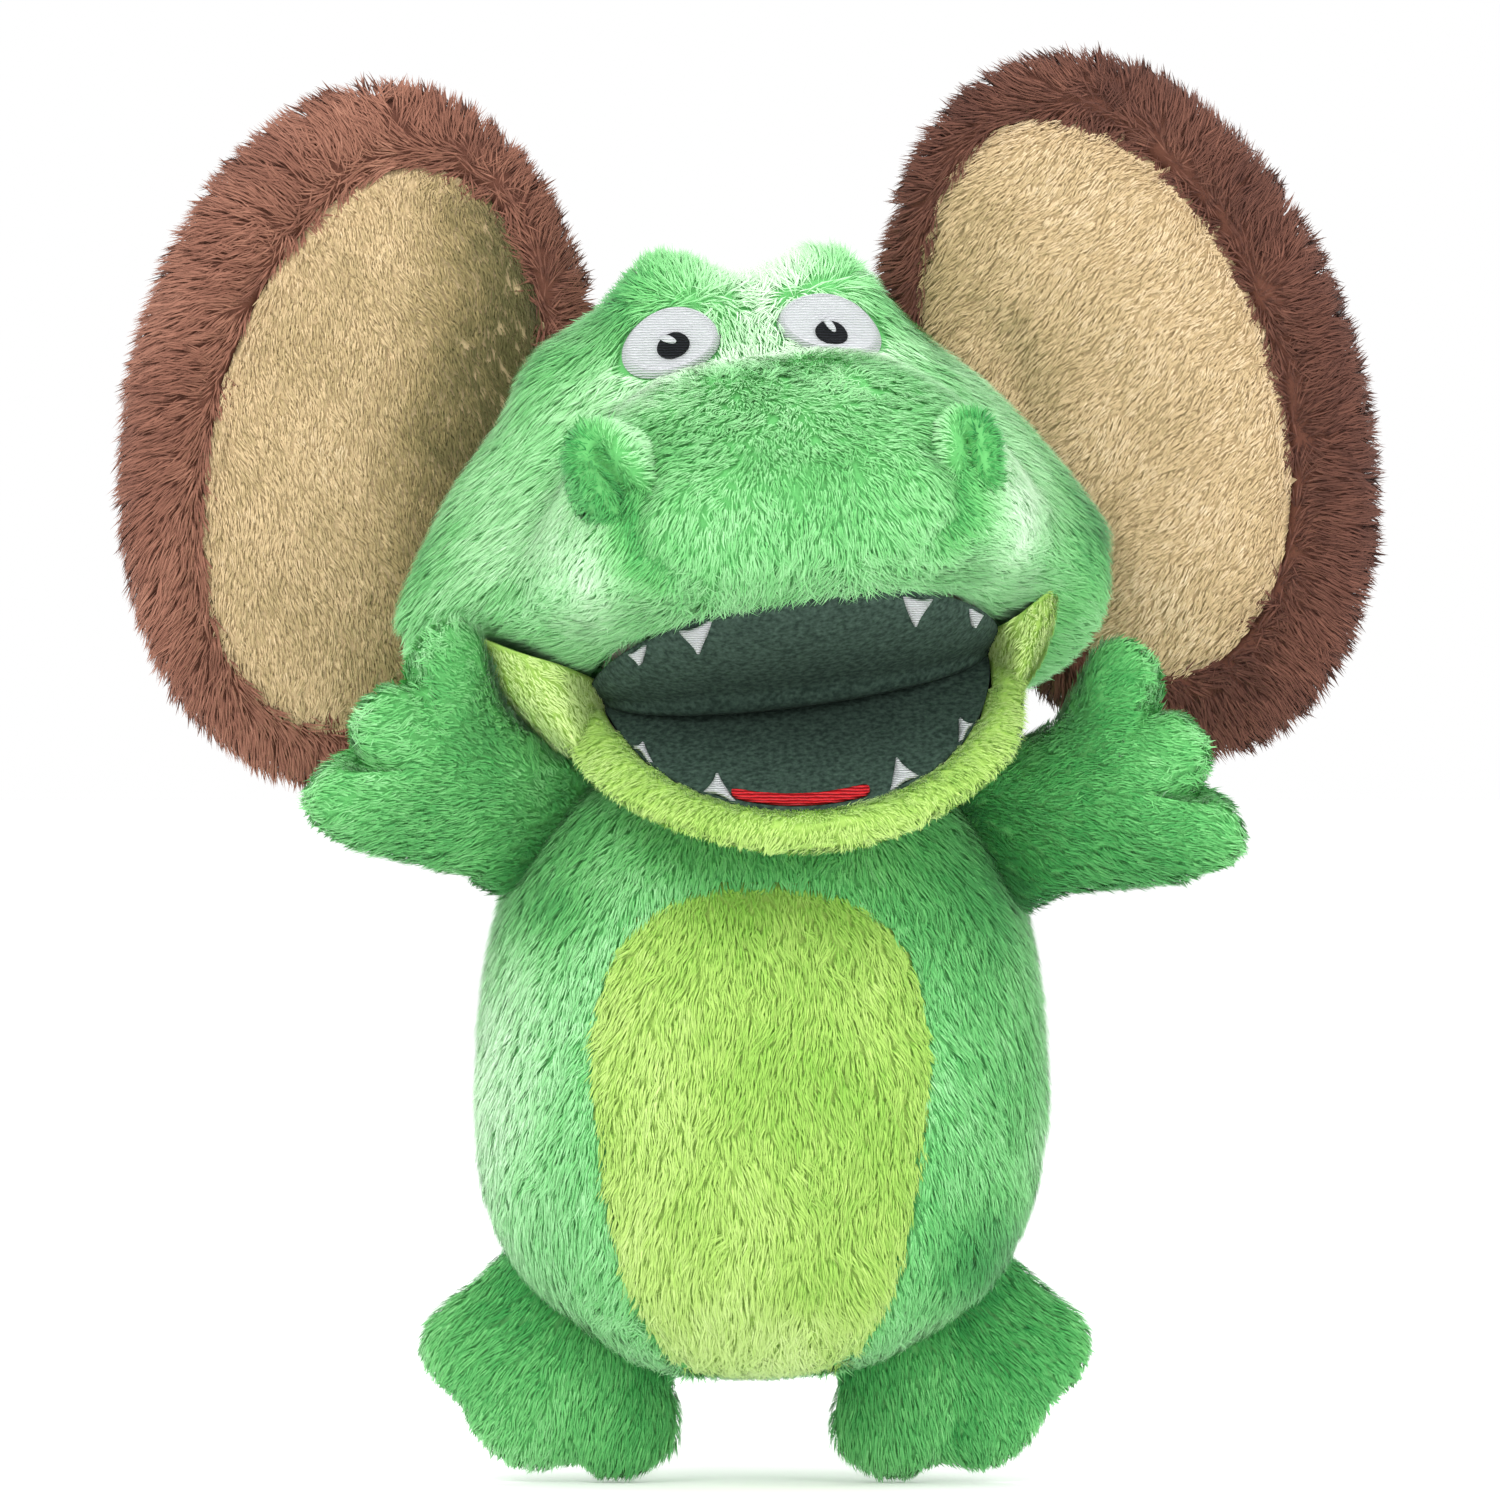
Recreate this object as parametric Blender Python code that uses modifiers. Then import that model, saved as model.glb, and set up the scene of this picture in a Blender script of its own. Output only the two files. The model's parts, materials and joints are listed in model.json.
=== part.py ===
"""Moving mouth hand puppet: a plush crocodile with two large round ears.

Sizes are in millimetres times MM, so that every length is in metres. Heights are
first measured from the bottom of the feet; the last step moves the finished parts so
that the origin is the middle of the hand opening in the back. The front faces -Y and
"left" is the -X side.
"""

from math import cos, exp, pi, radians, sin

import bmesh
import bpy
from mathutils import Matrix, Vector

MM = 0.001
NAME = "mouth_puppet"

# fabrics and gaps
PLUSH = 2.5 * MM
LINING = 1.2 * MM
FELT = 2.0 * MM
BOARD = 2.0 * MM
GAP = 0.3 * MM

# torso sections: height, half width, front, back
TORSO = (
    (28, 22, -24, 20), (31, 33, -34, 30), (38, 43, -43, 38), (50, 55, -50, 45),
    (66, 63, -54, 49), (85, 66, -56, 51), (103, 66, -55, 52), (121, 64, -53, 52),
    (138, 59, -48, 52), (150, 53, -43, 52), (159, 48, -38, 51), (165, 44, -34, 49),
    (167, 36, -27, 42),
)
BELLY_CENTRE = 83 * MM
BELLY_HALF_WIDTH = 36.5 * MM
BELLY_HALF_HEIGHT = 60 * MM

# hand opening in the back, with its cuff
OPENING = Vector((0, 56, 95)) * MM
CUFF_OUTER = (34 * MM, 42 * MM)
CUFF_WALL = 3 * MM
CUFF_DEPTH = 18 * MM

# neck
NECK = Vector((3, 8, 168)) * MM
NECK_RADIUS = 40 * MM
NECK_WALL = 2 * MM

# head, in its own frame: origin at the middle of the mouth's hinge, -Y to the snout
HINGE = Vector((7.5, -20, 194)) * MM
HEAD_ROLL = radians(7.5)
HEAD_YAW = radians(4)
PALATE_UP = radians(14)
JAW_DOWN = radians(30)
# head sections: y, middle x, half width, widest z, top, bottom, taper to the top
HEAD = (
    (-84, 0, 16, 36, 41, 30, 0.0), (-82, 0, 29, 36, 45, 25, 0.0),
    (-78, 0, 39, 36, 50, 21.5, 0.05), (-72, 0, 46, 36, 56, 18.5, 0.1),
    (-64, 0, 51.5, 35, 62.5, 16, 0.15), (-54, 0, 55, 33, 68, 13.5, 0.2),
    (-42, 0, 57.5, 31, 71.5, 10.5, 0.28), (-31, 0, 60, 30, 73, 7.7, 0.35),
    (-24, -1, 62.5, 29, 78, 6, 0.42), (-16, -2, 67, 28, 88, 4, 0.48),
    (-6, -3, 74, 26, 92, 1.5, 0.5), (6, -4, 81, 25, 93, -9, 0.5),
    (20, -5, 84, 25, 93, -17, 0.5), (34, -5, 80, 27, 91, -17, 0.46),
    (50, -4, 68, 30, 86, -10, 0.4), (64, -3, 48, 36, 76, 6, 0.3),
    (72, -2, 20, 42, 62, 24, 0.1),
)
BROW_X = 21 * MM
BROW_Y = -10 * MM
BROW_RISE = 8 * MM
# lower jaw sections, in the jaw's frame: y, half width, depth below its rim
JAW = (
    (-75, 9, 5), (-73, 18, 7), (-68, 27, 8.5), (-60, 36, 10.5), (-50, 44.5, 12.5),
    (-38, 50.5, 14.5), (-24, 54.5, 17), (-8, 57, 19), (6, 57, 19),
)
JAW_RIM = 3
MOUTH_HALF_WIDTH = 46 * MM
MOUTH_DEPTH = 69 * MM
# teeth: place round the rim in degrees from the front, width, length
UPPER_TEETH = ((-48, 7, 9), (-25, 10, 12), (36, 10, 12), (60, 7, 9))
LOWER_TEETH = ((-55, 8, 9), (-28, 10, 11), (27, 9, 10), (48, 8, 9))
TOOTH_HEIGHT = 0.8 * MM
# eyes in the head's frame: side, x, z, tilt in degrees
EYES = (("left", -18.3, 79, 8), ("right", 18.8, 78.2, -24))
EYE_SIZE = (12.5 * MM, 10 * MM)
PUPIL_RADIUS = 4 * MM
NOSTRIL = Vector((43, -71, 50)) * MM
# nostril cup sections: height, half width, half depth
NOSTRIL_RINGS = ((-6, 9, 9), (0, 10, 10), (5, 9, 9), (9, 5.5, 5.5))

# ears: side, middle x, middle z, half width, half height, tilt in degrees, hinge top x and
# z, hinge bottom x and z
EARS = (
    ("left", -97, 249.5, 54, 80, 8, -46, 288, -71, 213),
    ("right", 88, 257, 53, 82, -18, 40, 296, 84, 207),
)
EAR_Y = 30 * MM
EAR_HINGE_Y = 22 * MM
EAR_DEPTH = 13 * MM
EAR_PANEL = 0.76
EAR_CLEARANCE = 3.5 * MM

# arm outline: out from the shoulder seam, along the seam
ARM_OUTLINE = (
    (0, 17), (18, 16.5), (34, 17), (44, 23), (54, 24), (60, 17), (57, 8), (64, 3),
    (64, -8), (57, -13), (62, -18), (63, -26), (54, -30.5), (36, -28), (18, -22.5), (0, -17),
)
# side, shoulder x and z, rise of the arm in degrees, forward swing in degrees
ARMS = (("left", -50.5, 157, 35, 38), ("right", 54.5, 155.5, 26, 34))
ARM_Y = -11 * MM
ARM_DEPTH = 7 * MM
# foot outline: down from the hip seam, along the seam
FOOT_OUTLINE = (
    (0, -21), (14, -22.5), (25, -25.5), (35, -23), (38.5, -14), (37, -4), (40.5, 6),
    (39, 14), (31, 22), (27, 31), (19, 35.5), (12, 31), (5, 25), (0, 21),
)
FEET = (("left", -41, 44), ("right", 38.5, 44))
FOOT_Y = 3 * MM
FOOT_DEPTH = 7.5 * MM
FOOT_SLOPE = radians(36)
LIMB_CLEARANCE = 2.5 * MM
STUFFING_INSET = 2.6 * MM

GREEN = (0.13, 0.52, 0.17)
LIME = (0.38, 0.66, 0.09)
BROWN = (0.16, 0.06, 0.035)
TAN = (0.55, 0.4, 0.2)
FILLING = (0.85, 0.85, 0.83)
MOUTH_GREY = (0.03, 0.055, 0.05)


# ---------------------------------------------------------------- helpers

def clear_scene():
    for thing in list(bpy.data.objects):
        bpy.data.objects.remove(thing, do_unlink=True)


def collection(name):
    made = bpy.data.collections.new(name)
    bpy.context.scene.collection.children.link(made)
    return made


def add(name, mesh):
    made = bpy.data.objects.new(name, mesh)
    parts.objects.link(made)
    return made


def drop(*things):
    for thing in things:
        bpy.data.objects.remove(thing, do_unlink=True)


def finish_material(thing, colour, roughness=0.9):
    material = bpy.data.materials.new(thing.name)
    material.use_nodes = True
    shader = material.node_tree.nodes["Principled BSDF"]
    shader.inputs["Base Color"].default_value = (*colour, 1)
    shader.inputs["Roughness"].default_value = roughness
    shader.inputs["Metallic"].default_value = 0
    thing.data.materials.clear()
    thing.data.materials.append(material)


def applied(thing):
    """Turns the object's modifiers into plain mesh."""
    shape = thing.evaluated_get(bpy.context.evaluated_depsgraph_get())
    mesh = bpy.data.meshes.new_from_object(shape)
    thing.modifiers.clear()
    thing.data = mesh
    return thing


def carve(thing, tool, operation="DIFFERENCE", keep_tool=False):
    cut = thing.modifiers.new("carve", "BOOLEAN")
    cut.operation = operation
    cut.solver = "EXACT"
    cut.object = tool
    applied(thing)
    if not keep_tool:
        drop(tool)
    return thing


def copy(thing, name, growth=0.0):
    """A copy of a closed shape, grown along its normals."""
    made = add(name, thing.data.copy())
    made.matrix_world = thing.matrix_world
    if growth:
        normals = [v.normal.copy() for v in made.data.vertices]
        for vertex, normal in zip(made.data.vertices, normals):
            vertex.co += normal * growth
    return made


def loft(name, rings, closed=True):
    """Skins rings of equal point counts; an open loft has no end caps."""
    shape = bmesh.new()
    rows = [[shape.verts.new(point) for point in ring] for ring in rings]
    for row, after in zip(rows, rows[1:]):
        for i, vertex in enumerate(row):
            j = (i + 1) % len(row)
            shape.faces.new((vertex, row[j], after[j], after[i]))
    caps = [shape.faces.new(rows[0]), shape.faces.new(rows[-1])]
    bmesh.ops.recalc_face_normals(shape, faces=shape.faces)
    if not closed:
        bmesh.ops.delete(shape, geom=caps, context="FACES_ONLY")
    mesh = bpy.data.meshes.new(name)
    shape.to_mesh(mesh)
    shape.free()
    mesh.shade_smooth()
    return add(name, mesh)


def open_end(thing, direction):
    """Takes away the loft's end cap that lies furthest along a direction."""
    shape = bmesh.new()
    shape.from_mesh(thing.data)
    caps = [face for face in shape.faces if len(face.verts) > 4]
    end = max(caps, key=lambda face: face.calc_center_median().dot(direction))
    bmesh.ops.delete(shape, geom=[end], context="FACES_ONLY")
    shape.to_mesh(thing.data)
    shape.free()


def triangulated(thing):
    """Fixes the diagonals, so that grown copies stay parallel to this surface."""
    shape = bmesh.new()
    shape.from_mesh(thing.data)
    bmesh.ops.triangulate(shape, faces=shape.faces)
    shape.to_mesh(thing.data)
    shape.free()
    return thing


def solidified(thing, thickness):
    wall = thing.modifiers.new("wall", "SOLIDIFY")
    wall.thickness = thickness
    wall.offset = -1
    return applied(thing)


def box(low, high, frame=Matrix()):
    shape = bmesh.new()
    low, high = Vector(low) * MM, Vector(high) * MM
    size = Matrix.Diagonal((*(high - low), 1))
    bmesh.ops.create_cube(shape, size=1, matrix=Matrix.Translation((low + high) / 2) @ size)
    mesh = bpy.data.meshes.new("box")
    shape.to_mesh(mesh)
    shape.free()
    mesh.transform(frame)
    return add("box", mesh)


def ball(radius, centre, turns=28):
    shape = bmesh.new()
    bmesh.ops.create_uvsphere(shape, u_segments=turns, v_segments=turns * 2 // 3, radius=radius)
    mesh = bpy.data.meshes.new("ball")
    shape.to_mesh(mesh)
    shape.free()
    mesh.shade_smooth()
    made = add("ball", mesh)
    mesh.transform(Matrix.Translation(centre))
    return made


def signed_power(value, power):
    return abs(value) ** power * (1 if value >= 0 else -1)


def oval(half_a, half_b, count=32, power=2.0):
    """Points (a, b) of a superellipse."""
    turns = [2 * pi * i / count for i in range(count)]
    return [(half_a * signed_power(cos(t), 2 / power), half_b * signed_power(sin(t), 2 / power))
            for t in turns]


def spline(points, count):
    """A smooth closed outline through a few points, sampled evenly between them."""
    sampled = []
    total = len(points)
    for i in range(count):
        place = i * total / count
        k = int(place)
        f = place - k
        p = [Vector(points[(k + shift) % total]) for shift in (-1, 0, 1, 2)]
        sampled.append(0.5 * (2 * p[1] + (p[2] - p[0]) * f
                              + (2 * p[0] - 5 * p[1] + 4 * p[2] - p[3]) * f ** 2
                              + (3 * p[1] - p[0] - 3 * p[2] + p[3]) * f ** 3))
    return sampled


def prism(outline, low, high, frame):
    """A straight prism between two levels of frame's Z."""
    rings = [[frame @ Vector((a, b, level)) for a, b in outline] for level in (low, high)]
    made = loft("prism", rings)
    for face in made.data.polygons:
        face.use_smooth = False
    return made


def facing_front(centre):
    """A frame whose X is X, Y is up and Z points to the front."""
    return Matrix.Translation(centre) @ Matrix.Rotation(radians(90), 4, "X")


# ---------------------------------------------------------------- torso

def torso_solid():
    rings = []
    for height, half_width, front, back in TORSO:
        middle, depth = (front + back) / 2, (back - front) / 2
        rings.append([Vector((a, b + middle, height)) * MM
                      for a, b in oval(half_width, depth, 26, 2.2)])
    return triangulated(loft("torso", rings))


def belly_outline(inset=0.0):
    points = []
    for a, b in oval(1, 1, 32, 2.6):
        points.append(((BELLY_HALF_WIDTH - inset) * a * (1 + 0.17 * b),
                       (BELLY_HALF_HEIGHT - inset) * b))
    return points


def chin_cutter():
    """Clears the torso's front rim below the moving jaw."""
    frame = Matrix.Translation(Vector((0, -36, 151)) * MM) @ Matrix.Rotation(radians(20), 4, "X")
    return box((-90, -60, 0), (90, 44, 60), frame)


def belly_frame():
    return facing_front((0, 0, BELLY_CENTRE))


def make_torso(torso):
    shell = carve(copy(torso, "shell"), copy(torso, "inner", -PLUSH))
    carve(shell, ball(NECK_RADIUS + 0.8 * MM, NECK))
    carve(shell, chin_cutter())

    back = carve(copy(shell, "torso_back_panel"), box((-90, 0.15, 0), (90, 90, 200)), "INTERSECT")
    hole = oval(CUFF_OUTER[0] + GAP, CUFF_OUTER[1] + GAP)
    carve(back, prism(hole, -80 * MM, -20 * MM, facing_front((0, 0, OPENING.z))))
    finish_material(back, GREEN)

    front = carve(shell, box((-90, -90, 0), (90, -0.15, 200)), "INTERSECT")
    front.name = "torso_front_panel"
    belly = copy(front, "belly_panel")
    low, high = 12 * MM, 90 * MM
    carve(front, prism(belly_outline(-GAP), low - GAP, high, belly_frame()))
    carve(belly, prism(belly_outline(GAP), low + GAP, high, belly_frame()), "INTERSECT")
    finish_material(front, GREEN)
    finish_material(belly, LIME)


def sleeve_rings(growth=0.0):
    """Rings that fan from the cuff round to the neck, about the corner above the cuff."""
    corner = Vector((0, 37.5, 135)) * MM
    rings = []
    for step in range(6):
        turn = step / 5
        swing = radians(90) * turn
        outward = Vector((0, -sin(swing), -cos(swing)))
        near = 3.0 * MM
        far = (78.5 - 12.5 * turn) * MM
        middle = corner + outward * (near + far) / 2
        half = (far - near) / 2 + growth
        half_width = (30.5 + 2.0 * turn) * MM + growth
        start = middle + Vector((0, -1.5 * MM, 0)) * (1 - turn)
        rings.append([start + Vector((a, 0, 0)) + outward * b
                      for a, b in oval(half_width, half, 20)])
    return rings


def make_lining():
    finish_material(solidified(loft("hand_sleeve", sleeve_rings(), closed=False), LINING), LIME)
    frame = facing_front(OPENING)
    cuff = prism(oval(*CUFF_OUTER), 0, CUFF_DEPTH, frame)
    bore = oval(CUFF_OUTER[0] - CUFF_WALL, CUFF_OUTER[1] - CUFF_WALL)
    carve(cuff, prism(bore, -5 * MM, CUFF_DEPTH + 5 * MM, frame))
    cuff.name = "opening_cuff"
    finish_material(cuff, GREEN)


def make_belly_stuffing(torso):
    stuffing = copy(torso, "belly_stuffing", -PLUSH - 0.7 * MM)
    carve(stuffing, box((-90, -90, 0), (90, 4, 126)), "INTERSECT")
    carve(stuffing, loft("sleeve_space", sleeve_rings(1.0 * MM)))
    finish_material(stuffing, FILLING)


# ---------------------------------------------------------------- head

def head_solid():
    rings = []
    for y, middle, half_width, widest, top, bottom, taper in HEAD:
        ring = []
        for c, s in oval(1, 1, 26):
            if s >= 0:
                rise = signed_power(s, 2 / 2.7)
                z = widest + (top - widest) * rise
                x = half_width * signed_power(c, 2 / 2.7) * (1 - taper * rise)
            else:
                z = widest + (widest - bottom) * signed_power(s, 2 / 3.0)
                x = half_width * signed_power(c, 2 / 3.0)
            point = Vector((x + middle, y, z)) * MM
            if s > 0:
                brow = abs(abs(point.x) - BROW_X) / (12 * MM)
                along = (point.y - BROW_Y) / (13 * MM)
                point.z += BROW_RISE * s * exp(-brow ** 2 - along ** 2)
            ring.append(point)
        rings.append(ring)
    head = loft("head", rings)
    head.data.transform(head_frame)
    return triangulated(head)


def mouth_outline(inset, rear=-1.5 * MM):
    """Half an oval with a straight side along the hinge, at y = rear."""
    half_width, depth = MOUTH_HALF_WIDTH - inset, MOUTH_DEPTH - inset
    front = -2 * MM
    arc = [(half_width * cos(t), front - (depth + front) * sin(t))
           for t in (pi * i / 20 for i in range(21))]
    return [(half_width, rear), *arc, (-half_width, rear)]


def jaw_notch():
    """The room below the palate that the lower jaw moves in."""
    frame = palate_frame
    return box((-66, -120, -90), (66, 23, 0), frame)


def make_head_panels(head):
    shell = carve(copy(head, "shell"), copy(head, "inner", -PLUSH))
    carve(shell, ball(NECK_RADIUS + 0.5 * MM, NECK))
    carve(shell, jaw_notch())
    carve(shell, prism(mouth_outline(-GAP, 4 * MM), -10 * MM, 9 * MM, palate_frame))
    bounds = (("head_back_panel", 26.15, 120), ("face_panel", -29.85, 25.85),
              ("snout_panel", -120, -30.15))
    for name, low, high in bounds:
        panel = copy(shell, name)
        carve(panel, box((-130, low, -70), (130, high, 150), head_frame), "INTERSECT")
        finish_material(panel, GREEN)
    drop(shell)


def make_neck():
    neck = carve(ball(NECK_RADIUS, NECK), ball(NECK_RADIUS - NECK_WALL, NECK))
    carve(neck, box((-60, -60, 146), (60, 60, 182)), "INTERSECT")
    carve(neck, box((-60, -60, 150.5), (60, 4, 200)))
    neck.name = "neck_panel"
    finish_material(neck, GREEN)


def make_head_stuffing(head):
    stuffing = copy(head, "head_stuffing", -PLUSH - 0.7 * MM)
    carve(stuffing, box((-130, -120, 33), (130, 120, 150), palate_frame), "INTERSECT")
    finish_material(stuffing, FILLING)
    for side, low, high in (("left", -130, -68), ("right", 68, 130)):
        pad = copy(head, "cheek_stuffing_" + side, -PLUSH - 0.7 * MM)
        carve(pad, box((low, -12, -20), (high, 40, 31.5), palate_frame), "INTERSECT")
        finish_material(pad, FILLING)


def pocket(name, sections, frame):
    """A flat lining bag, open at the back: y, half width, low and high z."""
    rings = []
    for y, half_width, low, high in sections:
        rings.append([frame @ (Vector((a, y, b + (low + high) / 2)) * MM)
                      for a, b in oval(half_width, (high - low) / 2, 16, 3.0)])
    bag = loft(name, rings)
    open_end(bag, frame.to_3x3() @ Vector((0, 1, 0)))
    finish_material(solidified(bag, LINING), LIME)


def plate(name, frame, low, high, inset, colour, roughness):
    made = prism(mouth_outline(inset), low, high, frame)
    made.name = name
    finish_material(made, colour, roughness)


def make_mouth():
    plate("upper_palate", palate_frame, 0.1 * MM, 0.1 * MM + FELT, 0, MOUTH_GREY, 0.95)
    plate("upper_mouth_board", palate_frame, 2.4 * MM, 2.4 * MM + BOARD, 0.5 * MM, FILLING, 0.6)
    plate("lower_palate", jaw_frame, -0.1 * MM - FELT, -0.1 * MM, 0, MOUTH_GREY, 0.95)
    plate("lower_mouth_board", jaw_frame, -2.4 * MM - BOARD, -2.4 * MM, 0.5 * MM, FILLING, 0.6)
    pocket("finger_pocket", ((-58, 30, 8, 22), (-50, 36, 6, 27), (-30, 40, 5.6, 31),
                             (0, 40, 5.6, 31)), palate_frame)
    pocket("thumb_pocket", ((-44, 12, -8, -5.2), (-36, 16, -10, -4.9), (-20, 19, -13, -4.9),
                            (2, 20, -15.2, -4.9)), jaw_frame)


def tooth(name, turn, width, length, frame, low, high):
    """A triangle on the rim of the mouth, pointing inwards."""
    angle = radians(turn)
    rim = Vector(((MOUTH_HALF_WIDTH - 1 * MM) * sin(angle), -(MOUTH_DEPTH - 1 * MM) * cos(angle)))
    along = Vector((MOUTH_HALF_WIDTH * cos(angle), MOUTH_DEPTH * sin(angle))).normalized()
    inward = Vector((-along.y, along.x))
    outline = [rim - along * width / 2, rim + inward * length, rim + along * width / 2]
    made = prism(outline, low, high, frame)
    made.name = name
    finish_material(made, (0.8, 0.8, 0.8), 0.5)


def make_teeth():
    for i, (turn, width, length) in enumerate(UPPER_TEETH, 1):
        tooth(f"upper_tooth_{i}", turn, width * MM, length * MM, palate_frame,
              -0.2 * MM - TOOTH_HEIGHT, -0.2 * MM)
    for i, (turn, width, length) in enumerate(LOWER_TEETH, 1):
        tooth(f"lower_tooth_{i}", turn, width * MM, length * MM, jaw_frame,
              0.2 * MM, 0.2 * MM + TOOTH_HEIGHT)


def make_tongue():
    outline = [(15.5 * MM * cos(t), -58.5 * MM - 7.5 * MM * sin(t))
               for t in (pi * i / 10 for i in range(11))]
    made = prism(outline, 0.2 * MM, 1.4 * MM, jaw_frame)
    made.name = "tongue"
    finish_material(made, (0.65, 0.02, 0.03), 0.6)


def make_eyes(head):
    for side, x, z, tilt in EYES:
        front = Matrix.Rotation(radians(68), 4, "X") @ Matrix.Rotation(radians(tilt), 4, "Z")
        frame = head_frame @ Matrix.Translation(Vector((x, -22, z)) * MM) @ front
        white = carve(copy(head, "eye_white_" + side, 1.6 * MM), copy(head, "skin", GAP))
        carve(white, prism(oval(*EYE_SIZE, 28), -10 * MM, 20 * MM, frame), "INTERSECT")
        finish_material(white, (0.85, 0.86, 0.88), 0.5)
        pupil = carve(copy(head, "pupil_" + side, 2.6 * MM), copy(head, "skin", 1.9 * MM))
        middle = frame @ Matrix.Translation(Vector((1.5, -2, 0)) * MM)
        outline = oval(PUPIL_RADIUS, PUPIL_RADIUS, 16)
        carve(pupil, prism(outline, -10 * MM, 20 * MM, middle), "INTERSECT")
        finish_material(pupil, (0.01, 0.01, 0.01), 0.5)


def make_nostrils(head):
    """Half open cups of folded plush on the snout's upper corners."""
    for side, sign in (("left", -1), ("right", 1)):
        centre = Vector((NOSTRIL.x * sign, NOSTRIL.y, NOSTRIL.z))
        lean = Matrix.Rotation(radians(35) * sign, 4, "Y") @ Matrix.Rotation(radians(20), 4, "X")
        frame = head_frame @ Matrix.Translation(centre) @ lean
        rings = []
        for height, half_width, half_depth in NOSTRIL_RINGS:
            rings.append([frame @ (Vector((a, b, height)) * MM)
                          for a, b in oval(half_width, half_depth, 14)])
        cup = loft("nostril_" + side, rings)
        carve(cup, ball(6.5 * MM, frame @ (Vector((4 * sign, -4, 7)) * MM), 12))
        carve(cup, copy(head, "skin", 0.5 * MM))
        finish_material(cup, GREEN)


# ---------------------------------------------------------------- lower jaw

def jaw_solid(inset=0.0):
    """The jaw's outer form, or its hollow when inset by the plush's thickness."""
    rings = []
    for y, half_width, depth in JAW:
        ring = []
        for c, s in oval(1, 1, 24):
            if s >= 0:
                z = (JAW_RIM - inset) * (signed_power(s, 0.5) - 1) - inset
            else:
                z = -JAW_RIM + (depth - JAW_RIM - inset) * s
            ring.append(Vector(((half_width - 1.5 * inset) * c, y + 2 * inset, z)) * MM)
        rings.append(ring)
    jaw = loft("jaw", rings)
    jaw.data.transform(jaw_frame)
    return triangulated(jaw)


def make_jaw():
    jaw = jaw_solid()
    panel = carve(copy(jaw, "lower_jaw_panel"), jaw_solid(2.4))
    carve(panel, prism(mouth_outline(-GAP, 4 * MM), -8 * MM, 10 * MM, jaw_frame))
    carve(panel, box((-80, -2.5, -60), (80, 40, 40), jaw_frame))
    finish_material(panel, LIME)
    drop(jaw)


# ---------------------------------------------------------------- ears, arms and feet

def half_pillow(name, outline, frame, depth, side, wall):
    """One stuffed half of a flat shape: rings shrink and rise from its seam."""
    centre = sum(outline, Vector((0, 0))) / len(outline)
    shrink = [1.0, 1.0, 0.86, 0.5]
    rings = []
    for number, scale in enumerate(shrink):
        base = (GAP / 2, 2.0 * MM)[number > 0]
        level = side * (base + (depth - base) * (1 - scale ** 2) ** 0.5)
        rings.append([frame @ Vector((*(centre + (p - centre) * scale), level))
                      for p in outline])
    made = loft(name, rings)
    open_end(made, frame.to_3x3() @ Vector((0, 0, -side)))
    return solidified(made, wall)


def full_pillow(name, outline, frame, depth):
    """The whole stuffed form, both halves together."""
    centre = sum(outline, Vector((0, 0))) / len(outline)
    rings = []
    for scale, side in ((0.5, -1), (0.86, -1), (0.86, 1), (0.5, 1)):
        level = side * depth * (1 - scale ** 2) ** 0.5
        rings.append([frame @ Vector((*(centre + (p - centre) * scale), level))
                      for p in outline])
    return loft(name, rings)


def limb_frame(x, y, z, out, along):
    """X points out of the seam, Y along it and Z to the front."""
    front = out.cross(along)
    turned = Matrix((out, along, front)).transposed().to_4x4()
    return Matrix.Translation(Vector((x * MM, y, z * MM))) @ turned


def make_limb(kind, side, outline, frame, depth, colour, body, clearance):
    points = spline([Vector(p) * MM for p in outline], 28)
    halves = ((kind + "_front_" + side, 1), (kind + "_back_" + side, -1))
    for name, face in halves:
        half = half_pillow(name, points, frame, depth, face, 2.0 * MM)
        carve(half, copy(body, "room", clearance))
        finish_material(half, colour)
    whole = full_pillow("whole", points, frame, depth)
    stuffing = copy(whole, f"{kind}_stuffing_{side}", -STUFFING_INSET)
    drop(whole)
    carve(stuffing, copy(body, "room", clearance + 0.7 * MM))
    finish_material(stuffing, FILLING)


def mirrored(side):
    return 1 if side == "right" else -1


def arm_frames():
    for side, x, z, rise, swing in ARMS:
        sign = mirrored(side)
        out = Vector((cos(radians(rise)) * sign, 0, sin(radians(rise))))
        along = Vector((-sin(radians(rise)) * sign, 0, cos(radians(rise))))
        turn = Matrix.Rotation(-radians(swing) * sign, 3, along)
        yield side, x, z, turn @ out, along


def make_arms(torso):
    for side, x, z, out, along in arm_frames():
        frame = limb_frame(x, ARM_Y, z, out, along)
        outline = ARM_OUTLINE
        make_limb("arm", side, outline, frame, ARM_DEPTH, GREEN, torso, LIMB_CLEARANCE)


def make_feet(torso):
    for side, x, z in FEET:
        sign = mirrored(side)
        out = Vector((sin(FOOT_SLOPE) * sign, 0, -cos(FOOT_SLOPE)))
        along = Vector((-cos(FOOT_SLOPE) * sign, 0, -sin(FOOT_SLOPE)))
        frame = limb_frame(x, FOOT_Y, z, out, along)
        make_limb("foot", side, FOOT_OUTLINE, frame, FOOT_DEPTH, GREEN, torso, LIMB_CLEARANCE)


def ear_loft(name, outline, frame, levels):
    """Rings of the ear's oval: each level has a scale and a depth."""
    return loft(name, [[frame @ Vector((a * scale, b * scale, depth * MM)) for a, b in outline]
                       for scale, depth in levels])


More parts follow.
